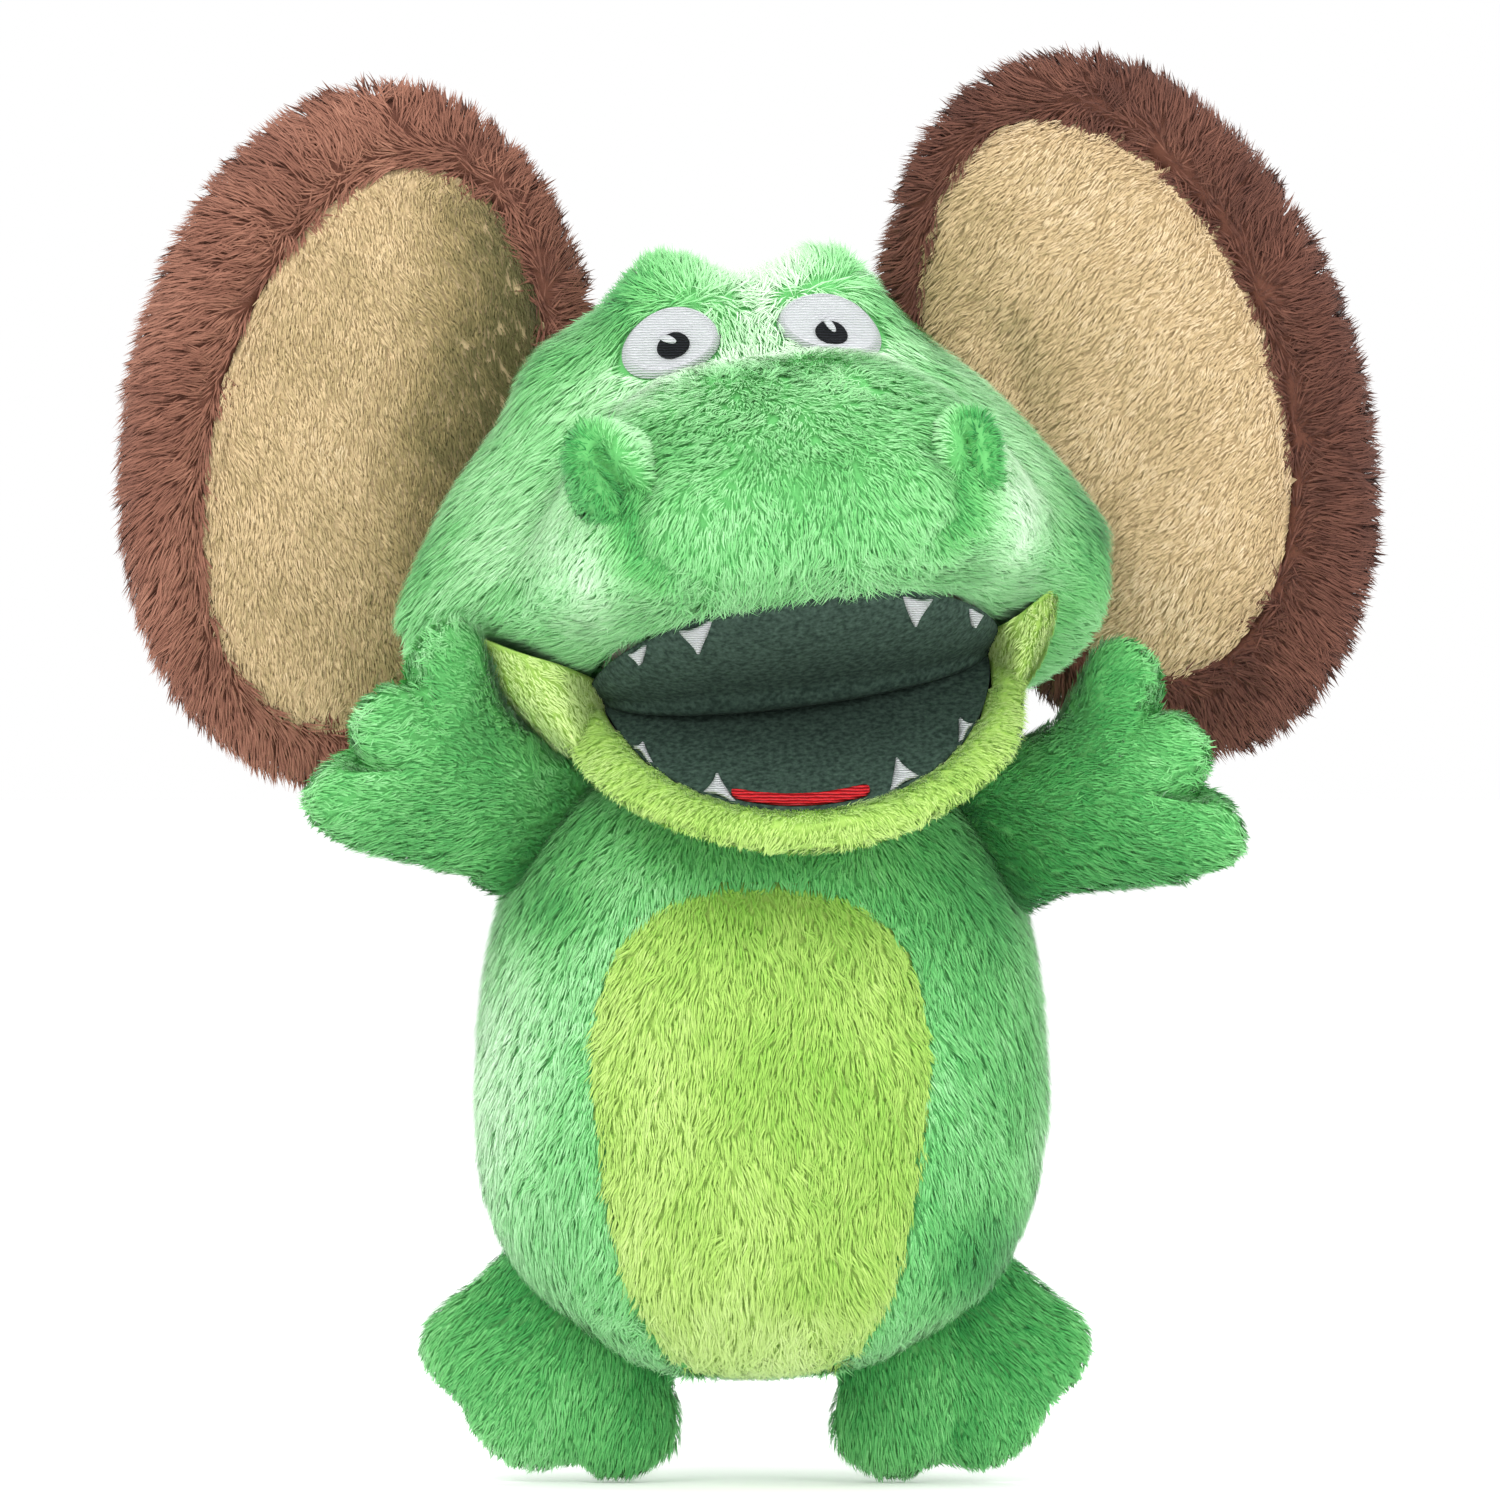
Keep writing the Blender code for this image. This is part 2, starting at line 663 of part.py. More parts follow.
def make_ears(head):
    for side, x, z, half_width, half_height, tilt, *_ in EARS:
        turn = Matrix.Rotation(-radians(tilt), 4, "Z")
        frame = facing_front(Vector((x * MM, EAR_Y, z * MM))) @ turn
        outline = oval(half_width * MM, half_height * MM, 24)
        skin = ear_loft("skin", outline, frame, (
            (0.45, -13), (0.78, -10.5), (0.95, -4.5), (1.0, 2), (0.975, 8),
            (0.90, 12), (0.80, 10.5)))
        back = carve(copy(skin, "ear_back_" + side), copy(skin, "inner", -PLUSH))
        panel_hole = [(a * 0.79, b * 0.79) for a, b in outline]
        carve(back, prism(panel_hole, 4 * MM, 30 * MM, frame))
        carve(back, copy(head, "room", EAR_CLEARANCE))
        finish_material(back, BROWN)
        inner = ear_loft("ear_inner_" + side, outline, frame, (
            (0.775, 8.5), (0.775, 11), (0.6, 14), (0.3, 15)))
        carve(inner, ear_loft("hollow", outline, frame, (
            (0.73, 6), (0.73, 9.3), (0.56, 11.8), (0.25, 12.7))))
        carve(inner, copy(head, "room", EAR_CLEARANCE))
        finish_material(inner, TAN)
        stuffing = ear_loft("ear_stuffing_" + side, outline, frame, (
            (0.42, -9.5), (0.72, -7.3), (0.89, -2), (0.90, 4), (0.70, 7.5)))
        carve(stuffing, copy(head, "room", EAR_CLEARANCE + 0.5 * MM))
        finish_material(stuffing, FILLING)
        drop(skin)


# ---------------------------------------------------------------- bodies

def empty(name, place):
    made = bpy.data.objects.new(name, None)
    made.empty_display_size = 20 * MM
    made.location = place
    parts.objects.link(made)
    return made


def hang(pivot, names):
    """Parents parts to the empty on their joint's axis, where they stand."""
    bpy.context.view_layer.update()
    for name in names:
        thing = bpy.data.objects[name]
        thing.parent = pivot
        thing.matrix_parent_inverse = pivot.matrix_world.inverted()


def move_to_frame():
    for thing in parts.objects:
        if thing.type == "MESH":
            thing.data.transform(Matrix.Translation(-OPENING))


def assemble():
    move_to_frame()
    by_start = {}
    for thing in parts.objects:
        by_start.setdefault(thing.name.split("_")[0], []).append(thing.name)
    jaw = by_start["lower"] + by_start["thumb"] + by_start["tongue"]
    head = [name for start in ("head", "face", "snout", "neck", "cheek", "finger", "upper",
                               "eye", "pupil", "nostril") for name in by_start[start]]
    hang(empty("neck_pivot", NECK - OPENING), head)
    hang(empty("jaw_pivot", HINGE - OPENING), jaw)
    for side, *_, top_x, top_z, low_x, low_z in EARS:
        place = Vector(((top_x + low_x) / 2 * MM, EAR_HINGE_Y, (top_z + low_z) / 2 * MM))
        hang(empty("ear_pivot_" + side, place - OPENING),
             [name for name in by_start["ear"] if name.endswith(side)])
    for side, x, z, *_ in ARMS:
        place = Vector((x * MM, ARM_Y, z * MM))
        hang(empty("arm_pivot_" + side, place - OPENING),
             [name for name in by_start["arm"] if name.endswith(side)])
    for side, x, z in FEET:
        place = Vector((x * MM, FOOT_Y, z * MM))
        hang(empty("foot_pivot_" + side, place - OPENING),
             [name for name in by_start["foot"] if name.endswith(side)])


clear_scene()
parts = collection(NAME)
head_frame = (Matrix.Translation(HINGE) @ Matrix.Rotation(HEAD_YAW, 4, "Z")
              @ Matrix.Rotation(-HEAD_ROLL, 4, "Y"))
palate_frame = head_frame @ Matrix.Rotation(-PALATE_UP, 4, "X")
jaw_frame = head_frame @ Matrix.Rotation(JAW_DOWN, 4, "X")

torso_shape = torso_solid()
head_shape = head_solid()
make_torso(torso_shape)
make_lining()
make_belly_stuffing(torso_shape)
make_head_panels(head_shape)
make_neck()
make_head_stuffing(head_shape)
make_mouth()
make_teeth()
make_tongue()
make_eyes(head_shape)
make_nostrils(head_shape)
make_jaw()
make_ears(head_shape)
make_arms(torso_shape)
make_feet(torso_shape)
drop(torso_shape, head_shape)
assemble()
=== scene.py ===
"""Visual model of the moving mouth puppet: plush skins with a combed pile around the frame.

Shapes are given in millimetres in the puppet's own measure: heights from the bottom of the
feet, X from its middle, the face towards -Y. to_frame() takes them to the frame's metres.
"""

import json
from math import cos, pi, radians, sin, sqrt

import bpy
import numpy as np
from mathutils import Matrix, Vector, kdtree
from mathutils.bvhtree import BVHTree


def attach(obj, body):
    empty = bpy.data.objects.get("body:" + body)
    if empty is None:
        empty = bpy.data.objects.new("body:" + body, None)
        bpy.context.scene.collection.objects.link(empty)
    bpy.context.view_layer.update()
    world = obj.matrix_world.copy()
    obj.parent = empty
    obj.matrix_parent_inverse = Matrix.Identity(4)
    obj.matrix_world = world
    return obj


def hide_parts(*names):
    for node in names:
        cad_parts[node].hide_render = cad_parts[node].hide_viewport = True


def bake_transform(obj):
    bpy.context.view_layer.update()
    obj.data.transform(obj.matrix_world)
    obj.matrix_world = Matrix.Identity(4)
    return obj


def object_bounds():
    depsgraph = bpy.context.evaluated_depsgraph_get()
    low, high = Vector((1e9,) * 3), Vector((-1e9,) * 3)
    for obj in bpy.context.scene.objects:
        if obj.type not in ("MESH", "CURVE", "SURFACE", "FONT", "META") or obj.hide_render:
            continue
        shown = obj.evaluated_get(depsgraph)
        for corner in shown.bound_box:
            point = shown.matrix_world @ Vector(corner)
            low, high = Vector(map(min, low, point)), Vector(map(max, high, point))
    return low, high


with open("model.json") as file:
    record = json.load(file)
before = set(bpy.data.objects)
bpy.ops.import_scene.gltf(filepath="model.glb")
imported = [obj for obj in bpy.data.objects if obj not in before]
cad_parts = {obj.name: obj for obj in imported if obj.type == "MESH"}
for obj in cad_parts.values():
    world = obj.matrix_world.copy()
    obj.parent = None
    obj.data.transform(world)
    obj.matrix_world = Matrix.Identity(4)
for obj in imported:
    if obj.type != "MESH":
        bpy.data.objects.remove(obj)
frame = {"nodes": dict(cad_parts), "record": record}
cad_low, cad_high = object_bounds()
record = frame["record"]

MM = 0.001
SIGN = {"left": -1, "right": 1}
OPENING = np.array((0.0, 56.0, 95.0))
MOUNT = {m["name"]: np.array(m["pos_m"]) for m in record["mounts"]}["hand_opening"]
JOINTS = {j["child"]: j for j in record["behaviour"]["joints"]}
rng = np.random.default_rng(11)


def to_frame(points):
    return (np.asarray(points, float) - OPENING) * MM + MOUNT


def to_measure(points):
    return (np.asarray(points, float) - MOUNT) / MM + OPENING


# ---- materials

def linear(colour):
    c = np.asarray(colour, float) / 255
    return tuple(np.where(c <= 0.04045, c / 12.92, ((c + 0.055) / 1.055) ** 2.4))


def plain(name, colour, roughness):
    material = bpy.data.materials.new(name)
    material.use_nodes = True
    shader = material.node_tree.nodes["Principled BSDF"]
    shader.inputs["Base Color"].default_value = (*linear(colour), 1)
    shader.inputs["Roughness"].default_value = roughness
    shader.inputs["Specular IOR Level"].default_value = 0.2
    shader.inputs["Sheen Roughness"].default_value = 0.5
    material.diffuse_color = (*linear(colour), 1)
    return material


def texture(material, kind, **values):
    """A procedural texture in the object's own space."""
    nodes = material.node_tree.nodes
    coordinates, made = nodes.new("ShaderNodeTexCoord"), nodes.new(kind)
    for name, value in values.items():
        made.inputs[name].default_value = value
    material.node_tree.links.new(coordinates.outputs["Object"], made.inputs["Vector"])
    return made


def grain(material, scale, detail=3.0):
    noise = texture(material, "ShaderNodeTexNoise", Scale=scale, Detail=detail)
    return noise.outputs["Fac"]


def woven(material, source, relief, shades, places, strength, distance):
    """Gives a material two shades by one value, and a surface raised by another."""
    nodes, links = material.node_tree.nodes, material.node_tree.links
    ramp = nodes.new("ShaderNodeValToRGB")
    for element, position, colour in zip(ramp.color_ramp.elements, places, shades):
        element.position, element.color = position, (*linear(colour), 1)
    lift = nodes.new("ShaderNodeBump")
    lift.inputs["Strength"].default_value = strength
    lift.inputs["Distance"].default_value = distance
    shader = nodes["Principled BSDF"]
    links.new(source, ramp.inputs["Fac"])
    links.new(ramp.outputs["Color"], shader.inputs["Base Color"])
    links.new(relief, lift.inputs["Height"])
    links.new(lift.outputs["Normal"], shader.inputs["Normal"])
    return material


def fibre(name, colour):
    """One shade of a pile, with a sheen that comes and goes."""
    material = plain(name, colour, 0.8)
    span = material.node_tree.nodes.new("ShaderNodeMapRange")
    span.inputs["To Min"].default_value, span.inputs["To Max"].default_value = 0.05, 0.5
    links = material.node_tree.links
    links.new(grain(material, 70), span.inputs["Value"])
    shader = material.node_tree.nodes["Principled BSDF"]
    links.new(span.outputs["Result"], shader.inputs["Sheen Weight"])
    return material


def cloth(name, dark, light, scale=40, weave=900, depth=0.4, roughness=0.92):
    """Woven or felted cloth: two shades in soft patches, over a fine raised grain."""
    material = plain(name, light, roughness)
    return woven(material, grain(material, scale, 4.0), grain(material, weave), (dark, light),
                 (0.35, 0.75), depth, 0.5 * MM)


def thread(name, dark, light, scale):
    """Satin stitches: fine ridges across the piece, with painted shade between them."""
    material = plain(name, light, 0.45)
    ridges = texture(material, "ShaderNodeTexWave", Scale=scale, Distortion=2.5, Detail=3)
    ridges.bands_direction = "Z"
    height = ridges.outputs["Fac"]
    return woven(material, height, height, (dark, light), (0.1, 0.6), 0.8, 0.6 * MM)


class Plush:
    """A pile fabric: strands in even steps from dark to light, a backing and a slot."""

    def __init__(self, name, stops, count, backing=0.9):
        stops = np.asarray(stops, float)
        self.slot = name + "_plush"
        self.strands = []
        for number, place in enumerate(np.linspace(0, len(stops) - 1, count)):
            low = min(int(place), len(stops) - 2)
            colour = stops[low] + (stops[low + 1] - stops[low]) * (place - low)
            self.strands.append(fibre(f"{name}_pile_{number}", colour))
        base = stops[1] + (stops[2] - stops[1]) * backing
        self.backing = cloth(name + "_backing", base * 0.93, base)


GREEN = Plush("green", ((28, 116, 54), (62, 154, 76), (112, 196, 114), (164, 226, 162),
                        (214, 243, 210)), 13)
LIME = Plush("lime", ((98, 158, 46), (138, 192, 74), (178, 214, 108), (212, 236, 154)), 9)
BROWN = Plush("brown", ((58, 32, 26), (100, 62, 50), (144, 96, 78), (182, 132, 110)), 9, 0.2)
TAN = Plush("tan", ((96, 90, 54), (162, 142, 98), (216, 190, 148), (240, 224, 194)), 9)


def wave(p, scale, phase):
    """Smooth noise from -1 to 1 made of a few sines."""
    x, y, z = (p / scale).T
    return (np.sin(1.7 * x + 1.3 * y + phase) * np.cos(1.1 * z - 0.7 * x + 2.1 * phase)
            + np.sin(2.3 * z + 1.9 * y - 1.7 * phase) * np.cos(1.9 * x + 0.6 * z + phase)) / 2


# ---- frames

HINGE = to_measure(JOINTS["lower_jaw"]["pos_m"])
HEAD_ROLL, HEAD_YAW = radians(7.5), radians(4)
PALATE_UP, JAW_DOWN = radians(14), radians(30)
head_frame = (Matrix.Translation(HINGE) @ Matrix.Rotation(HEAD_YAW, 4, "Z")
              @ Matrix.Rotation(-HEAD_ROLL, 4, "Y"))
palate_frame = head_frame @ Matrix.Rotation(-PALATE_UP, 4, "X")
jaw_frame = head_frame @ Matrix.Rotation(JAW_DOWN, 4, "X")


def put(matrix, points):
    m = np.array(matrix)
    return np.asarray(points, float) @ m[:3, :3].T + m[:3, 3]


def into(matrix, points):
    return put(matrix.inverted(), points)


def turned(matrix, ways):
    """Directions of a frame in the puppet's measure."""
    return np.asarray(ways, float) @ np.array(matrix)[:3, :3].T


# ---- forms

class Form:
    """A mesh held as arrays, in the puppet's own measure."""

    def __init__(self, points, faces):
        self.points, self.faces = np.asarray(points, float), faces

    def mesh(self, name):
        made = bpy.data.meshes.new(name)
        made.from_pydata([tuple(p) for p in to_frame(self.points)], [], self.faces)
        made.update()
        return made

    def picked(self, keep):
        """The faces whose middles pass a test, with their points."""
        middles = np.array([self.points[list(f)].mean(0) for f in self.faces])
        faces = [f for f, k in zip(self.faces, keep(middles)) if k]
        used = sorted({i for f in faces for i in f})
        place = {old: new for new, old in enumerate(used)}
        return Form(self.points[used], [tuple(place[i] for i in f) for f in faces])

    def normals(self):
        """At each point, from the faces around it."""
        total = np.zeros_like(self.points)
        for size in {len(f) for f in self.faces}:
            f = np.array([f for f in self.faces if len(f) == size])
            p = self.points[f]
            face = np.zeros((len(f), 3))
            for i in range(size):
                face += np.cross(p[:, i], p[:, (i + 1) % size])
            for i in range(size):
                np.add.at(total, f[:, i], face)
        return total / np.maximum(np.linalg.norm(total, axis=1, keepdims=True), 1e-9)

    def facing(self, ways):
        """Turns the faces over where they look against the given ways."""
        if (self.normals() * ways).sum() < 0:
            self.faces = [f[::-1] for f in self.faces]
        return self

    def triangles(self):
        return np.array([(f[0], f[i], f[i + 1]) for f in self.faces
                         for i in range(1, len(f) - 1)])


def catmull(p, f):
    """The Catmull-Rom curve between the middle two of four rows, at shares f of the way."""
    return 0.5 * (2 * p[1] + (p[2] - p[0]) * f + (2 * p[0] - 5 * p[1] + 4 * p[2] - p[3]) * f ** 2
                  + (3 * p[1] - p[0] - 3 * p[2] + p[3]) * f ** 3)


def smooth_rows(table, count):
    """Smooth rows through a table of sections."""
    table = np.asarray(table, float)
    place = np.linspace(0, len(table) - 1, count)
    last = len(table) - 1
    k = np.minimum(place.astype(int), last - 1)
    return catmull([table[np.clip(k + s, 0, last)] for s in (-1, 0, 1, 2)], (place - k)[:, None])


def ring_faces(rows, count):
    """Quads between closed rings of points that follow one another."""
    return [(r * count + i, r * count + j, (r + 1) * count + j, (r + 1) * count + i)
            for r in range(rows - 1) for i, j in zip(range(count), (*range(1, count), 0))]


def rings_form(rings, capped=True):
    """A form of rings, closed with a fan to the middle at each end when it is capped."""
    rings = np.asarray(rings, float)
    rows, count = rings.shape[:2]
    points = rings.reshape(-1, 3)
    faces = ring_faces(rows, count)
    if capped:
        low, high = len(points), len(points) + 1
        points = np.vstack((points, rings[0].mean(0), rings[-1].mean(0)))
        faces += [(low, (i + 1) % count, i) for i in range(count)]
        base = (rows - 1) * count
        faces += [(high, base + i, base + (i + 1) % count) for i in range(count)]
    made = Form(points, faces)
    p = made.points[made.triangles()]
    volume = np.einsum("ij,ij->i", p[:, 0], np.cross(p[:, 1], p[:, 2])).sum()
    if capped and volume < 0:
        made.faces = [f[::-1] for f in made.faces]
    return made


def grid_form(grid):
    """An open sheet of quads through rows of points."""
    grid = np.asarray(grid, float)
    rows, count = grid.shape[:2]
    faces = [(r * count + i, r * count + i + 1, (r + 1) * count + i + 1, (r + 1) * count + i)
             for r in range(rows - 1) for i in range(count - 1)]
    return Form(grid.reshape(-1, 3), faces)


def power(value, exponent):
    """A power that keeps the sign."""
    return np.abs(value) ** exponent * np.sign(value)


def turns(count):
    return np.arange(count) * 2 * pi / count


def columns(*values):
    """Points or ways from their parts, each an array or one number."""
    return np.stack(np.broadcast_arrays(*values), 1)


def oval(across, up, t):
    return columns(across * np.cos(t), up * np.sin(t))


def spline(points, count):
    """A smooth closed outline through a few points."""
    points = np.asarray(points, float)
    place = np.arange(count) * len(points) / count
    k = place.astype(int)
    return catmull([points[(k + s) % len(points)] for s in (-1, 0, 1, 2)], (place - k)[:, None])


def add(name, data):
    made = bpy.data.objects.new(name, data)
    bpy.context.scene.collection.objects.link(made)
    return made


def link(mesh, name, material):
    """A smooth mesh in the scene, of one material."""
    mesh.materials.append(material)
    mesh.shade_smooth()
    return add(name, mesh)


def dress(piece, slot, body, *nodes):
    """Puts a piece on the body it rides and hides the CAD nodes it stands for; the slot, what it
    is made of, is not used.
    """
    if nodes:
        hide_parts(*nodes)
    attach(piece, body)


def bell(value, width):
    """1 where the value is 0, falling off over a width."""
    return np.exp(-(value / width) ** 2)


def bump(p, centre, size, height):
    """A soft round rise: height at each point."""
    return height * np.exp(-(((p - centre) / size) ** 2).sum(1))


def line_distance(p, ends):
    """Distance from each point to a run of straight lines."""
    best = np.full(len(p), 1e9)
    for a, b in zip(ends, ends[1:]):
        a, b = np.asarray(a, float), np.asarray(b, float)
        t = np.clip(((p - a) @ (b - a)) / ((b - a) @ (b - a)), 0, 1)
        best = np.minimum(best, np.linalg.norm(p - a - t[:, None] * (b - a), axis=1))
    return best


# ---- pile

def unit(v):
    return v / np.maximum(np.linalg.norm(v, axis=-1, keepdims=True), 1e-9)


def scatter(form, density):
    """Even random places on a form: points, normals."""
    tri = form.triangles()
    p = form.points[tri]
    n = form.normals()[tri]
    area = np.linalg.norm(np.cross(p[:, 1] - p[:, 0], p[:, 2] - p[:, 0]), axis=1) / 2
    count = int(area.sum() * density)
    chosen = np.searchsorted(np.cumsum(area) / area.sum(), rng.random(count))
    chosen = np.minimum(chosen, len(tri) - 1)
    r = rng.random((count, 2))
    u = 1 - np.sqrt(r[:, :1])
    v = r[:, 1:] * np.sqrt(r[:, :1])
    weights = np.concatenate((u, v, 1 - u - v), axis=1)[:, :, None]
    return (p[chosen] * weights).sum(1), unit((n[chosen] * weights).sum(1))


def tuft_pull(roots, tuft_area, density):
    """The vector from each root to the middle of its tuft."""
    middles = roots[rng.random(len(roots)) < 1 / (tuft_area * density)]
    tree = kdtree.KDTree(len(middles))
    for i, m in enumerate(middles):
        tree.insert(m, i)
    tree.balance()
    found = np.array([tree.find(p)[1] for p in roots])
    return middles[found] - roots, found


# normals whose Y is above this look backwards, where strands are fewer and wider
BACKWARD, BACK_SHARE, BACK_WIDTH = 0.3, 0.55, 1.6


def pile(name, form, plush, comb, tone, length=5.5, density=2.7, width=0.34, lift=0.34,
         tuft=6.0, pull=0.22, keep=None, mess=0.18):
    """Blades of plush, each two triangles: comb gives the lie, tone the shade from 0 to 1."""
    p, n = scatter(form, density)
    kept = np.ones(len(p), bool) if keep is None else keep(p)
    kept &= (n[:, 1] < BACKWARD) | (rng.random(len(p)) < BACK_SHARE)
    p, n = p[kept], n[kept]
    towards, tuft_number = tuft_pull(p, tuft, density)
    tuft_mood = rng.normal(size=tuft_number.max() + 1)[tuft_number]
    tuft_turn = rng.normal(size=(tuft_number.max() + 1, 3))[tuft_number]
    count = len(p)
    drift = np.stack([wave(p, 13, phase) for phase in (0.3, 2.0, 4.1)], 1)
    lie = comb(p, n) + tuft_turn * mess + drift * 0.35 + rng.normal(size=p.shape) * mess * 0.6
    lie = unit(lie - n * (lie * n).sum(1, keepdims=True))
    long = length(p) if callable(length) else np.full(count, float(length))
    long = (long * (0.75 + 0.5 * rng.random(count)))[:, None]
    rise = (lift * (0.7 + 0.6 * rng.random(count)))[:, None]
    level = np.sqrt(np.maximum(1 - rise ** 2, 0.05))
    side = unit(np.cross(lie, n))
    middle = p + n * long * rise * 0.6 + lie * long * level * 0.4 + towards * pull * 0.4
    tip = p + n * long * rise * 0.95 + lie * long * level + towards * pull
    thick = width * (0.6 + 0.8 * rng.random(count))
    thick *= np.where(n[:, 1] < BACKWARD, 1.0, BACK_WIDTH)
    across = side * thick[:, None] / 2
    corners = np.stack((p - n * 0.5, middle + across, middle - across, tip), 1)
    shade = tone(p, n) + tuft_mood * 0.03 + rng.normal(size=count) * 0.035
    base = np.arange(count)[:, None] * 4
    mesh = bpy.data.meshes.new(name)
    mesh.vertices.add(count * 4)
    mesh.vertices.foreach_set("co", to_frame(corners.reshape(-1, 3)).astype(np.float32).ravel())
    loops = np.concatenate((base + (0, 1, 2), base + (2, 1, 3)), 1)
    mesh.loops.add(count * 6)
    mesh.loops.foreach_set("vertex_index", loops.astype(np.int32).ravel())
    mesh.polygons.add(count * 2)
    mesh.polygons.foreach_set("loop_start", (np.arange(count * 2) * 3).astype(np.int32))
    steps = len(plush.strands) - 1
    # each blade's lower triangle a step darker, as painted shade deep in the pile, and its tip a
    # step paler
    slots = np.stack((shade - 0.06, shade + 0.04), 1) * steps
    slots = np.clip(np.round(slots), 0, steps).astype(np.int32)
    for material in plush.strands:
        mesh.materials.append(material)
    mesh.polygons.foreach_set("material_index", slots.ravel())
    mesh.update(calc_edges=True)
    mesh.shade_smooth()
    blade = unit(np.cross(side, tip - p))
    soft = unit(n * 0.9 + blade * 0.2 + rng.normal(size=p.shape) * 0.07)
    bent = unit(n * 0.85 + blade * 0.25 + lie * 0.1)
    normals = np.stack((n, soft, soft, bent), 1).reshape(-1, 3)
    mesh.normals_split_custom_set_from_vertices(normals.astype(np.float32))
    return add(name, mesh)


def clad(name, body, plush, part, comb, tone, nodes=(), whole=None, keep=None, thickness=2.0,
         fill=None, **strands):
    """A plush panel: its backing with thickness, and its pile. Without a body its place is baked
    into its points and it is attached to no body."""
    piece = link(part.mesh(name), name + "_skin", plush.backing)
    if thickness:
        thicken(piece, thickness, -1)
        apply_modifiers(piece)
    fur = pile(name + "_pile", whole or part, plush, comb, tone, keep=keep, **strands)
    if nodes:
        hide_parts(*nodes)
    for thing in (piece, fur):
        if body:
            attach(thing, body)
        else:
            blend_jaw(thing)


def thicken(piece, thickness, offset):
    """Gives a sheet its thickness: offset -1 is inwards only, 0 is both ways."""
    wall = piece.modifiers.new("wall", "SOLIDIFY")
    wall.thickness, wall.offset = thickness * MM, offset


def apply_modifiers(thing):
    shape = thing.evaluated_get(bpy.context.evaluated_depsgraph_get())
    mesh = bpy.data.meshes.new_from_object(shape)
    thing.modifiers.clear()
    thing.data = mesh


# ---- torso

# height, half width, front, back
TORSO = (
    (26.8, 4, -4, 3), (28.2, 19, -21, 18), (32, 31, -33, 29), (38.8, 42, -42, 37),
    (50, 55, -50, 45), (66, 63, -54, 49), (85, 66, -56, 51), (103, 66, -55, 52),
    (121, 64.5, -53, 52), (138, 61, -49, 52), (150, 56, -44, 52), (159, 50, -38, 51),
    (166, 42, -32, 48), (170, 28, -20, 40), (171, 6, -2, 14),
)
BELLY_CENTRE, BELLY_HALF = 83.0, (37.5, 60.0)
CUFF = (34.3, 42.3)


def torso_form():
    rows = smooth_rows(TORSO, 90)
    t = turns(130)
    c, s = power(np.cos(t), 2 / 2.2), power(np.sin(t), 2 / 2.2)
    rings = []
    for height, half, front, back in rows:
        x, y = half * c, (front + back) / 2 + (back - front) / 2 * s
        rings.append(columns(x, y, height))
    form = rings_form(rings)
    n = form.normals()
    seam = bell(belly_place(form.points) - 1, 0.1)
    form.points += n * (wave(form.points, 26, 0.4) * 0.8 - 1.5 * seam)[:, None]
    return form


def belly_place(p):
    """Below 1 inside the belly panel's outline, on the front."""
    b = (p[:, 2] - BELLY_CENTRE) / BELLY_HALF[1]
    a = p[:, 0] / (BELLY_HALF[0] * (1 + 0.17 * np.clip(b, -1, 1)))
    return np.where(p[:, 1] < -12, np.abs(a) ** 2.6 + np.abs(b) ** 2.6, 9.0)


def in_cuff(p):
    a, b = p[:, 0] / CUFF[0], (p[:, 2] - OPENING[2]) / CUFF[1]
    return (p[:, 1] > 20) & (a ** 2 + b ** 2 < 1)


# soft patches on the torso in the puppet's measure, mottled dye with painted shade on the chest
# under the head, under the arms and down the right flank: place, size, how much lighter
TORSO_DYE_AND_SHADE = (((0, -40, 158), (50, 40, 16), -0.1), ((-52, -20, 140), (16, 30, 14), -0.18),
             ((48, -30, 140), (22, 30, 18), -0.26), ((-60, -15, 96), (20, 40, 44), 0.3),
             ((53, -25, 57), (13, 34, 15), -0.44), ((-46, -30, 137), (9, 20, 8), -0.2),
             ((60, -10, 100), (14, 30, 16), -0.12), ((60, -10, 78), (14, 30, 14), 0.1))
# soft lighter and darker patches on the belly in the puppet's measure: place, size, how much
# lighter
BELLY_PATCHES = (((0, -50, 30), (40, 40, 22), 0.3), ((0, -50, 142), (50, 40, 14), -0.16),
             ((10, -50, 98), (20, 30, 13), -0.14), ((12, -45, 51), (8, 30, 6), -0.24),
             ((-28, -40, 86), (13, 30, 40), 0.14), ((30, -50, 80), (10, 30, 34), -0.06))


def with_patches(shade, p, patches):
    """A shade with soft lighter and darker patches added."""
    for centre, size, height in patches:
        shade = shade + bump(p, centre, size, height)
    return shade


def torso_tone(p, n):
    return with_patches(0.56 + 0.11 * wave(p, 30, 0) + 0.05 * wave(p, 10, 2), p, TORSO_DYE_AND_SHADE)


def belly_tone(p, n):
    shade = 0.58 + 0.09 * wave(p * (1.6, 1, 0.7), 14, 1.0) + 0.04 * wave(p, 5, 2.0)
    return with_patches(shade, p, BELLY_PATCHES)


def torso_comb(p, n):
    return columns(p[:, 0] / 160, 0, -1)


def make_torso():
    form = torso_form()
    closed = form.picked(lambda p: ~in_cuff(p))
    regions = (
        ("torso_front", lambda p: (p[:, 1] <= 0) & (belly_place(p) > 1), GREEN, torso_tone,
         ("torso_front_panel",)),
        ("torso_back", lambda p: p[:, 1] > 0, GREEN, torso_tone, ("torso_back_panel",)),
        ("belly", lambda p: belly_place(p) <= 1, LIME, belly_tone,
         ("belly_panel", "belly_stuffing")),
    )

    def length(p):
        return 5.6 - 1.4 * bell(belly_place(p) - 1, 0.25)
    for name, test, plush, tone, nodes in regions:
        clad(name, "torso", plush, closed.picked(test), torso_comb, tone, nodes, whole=closed,
             keep=test, fill=0.7, length=length)


# ---- head

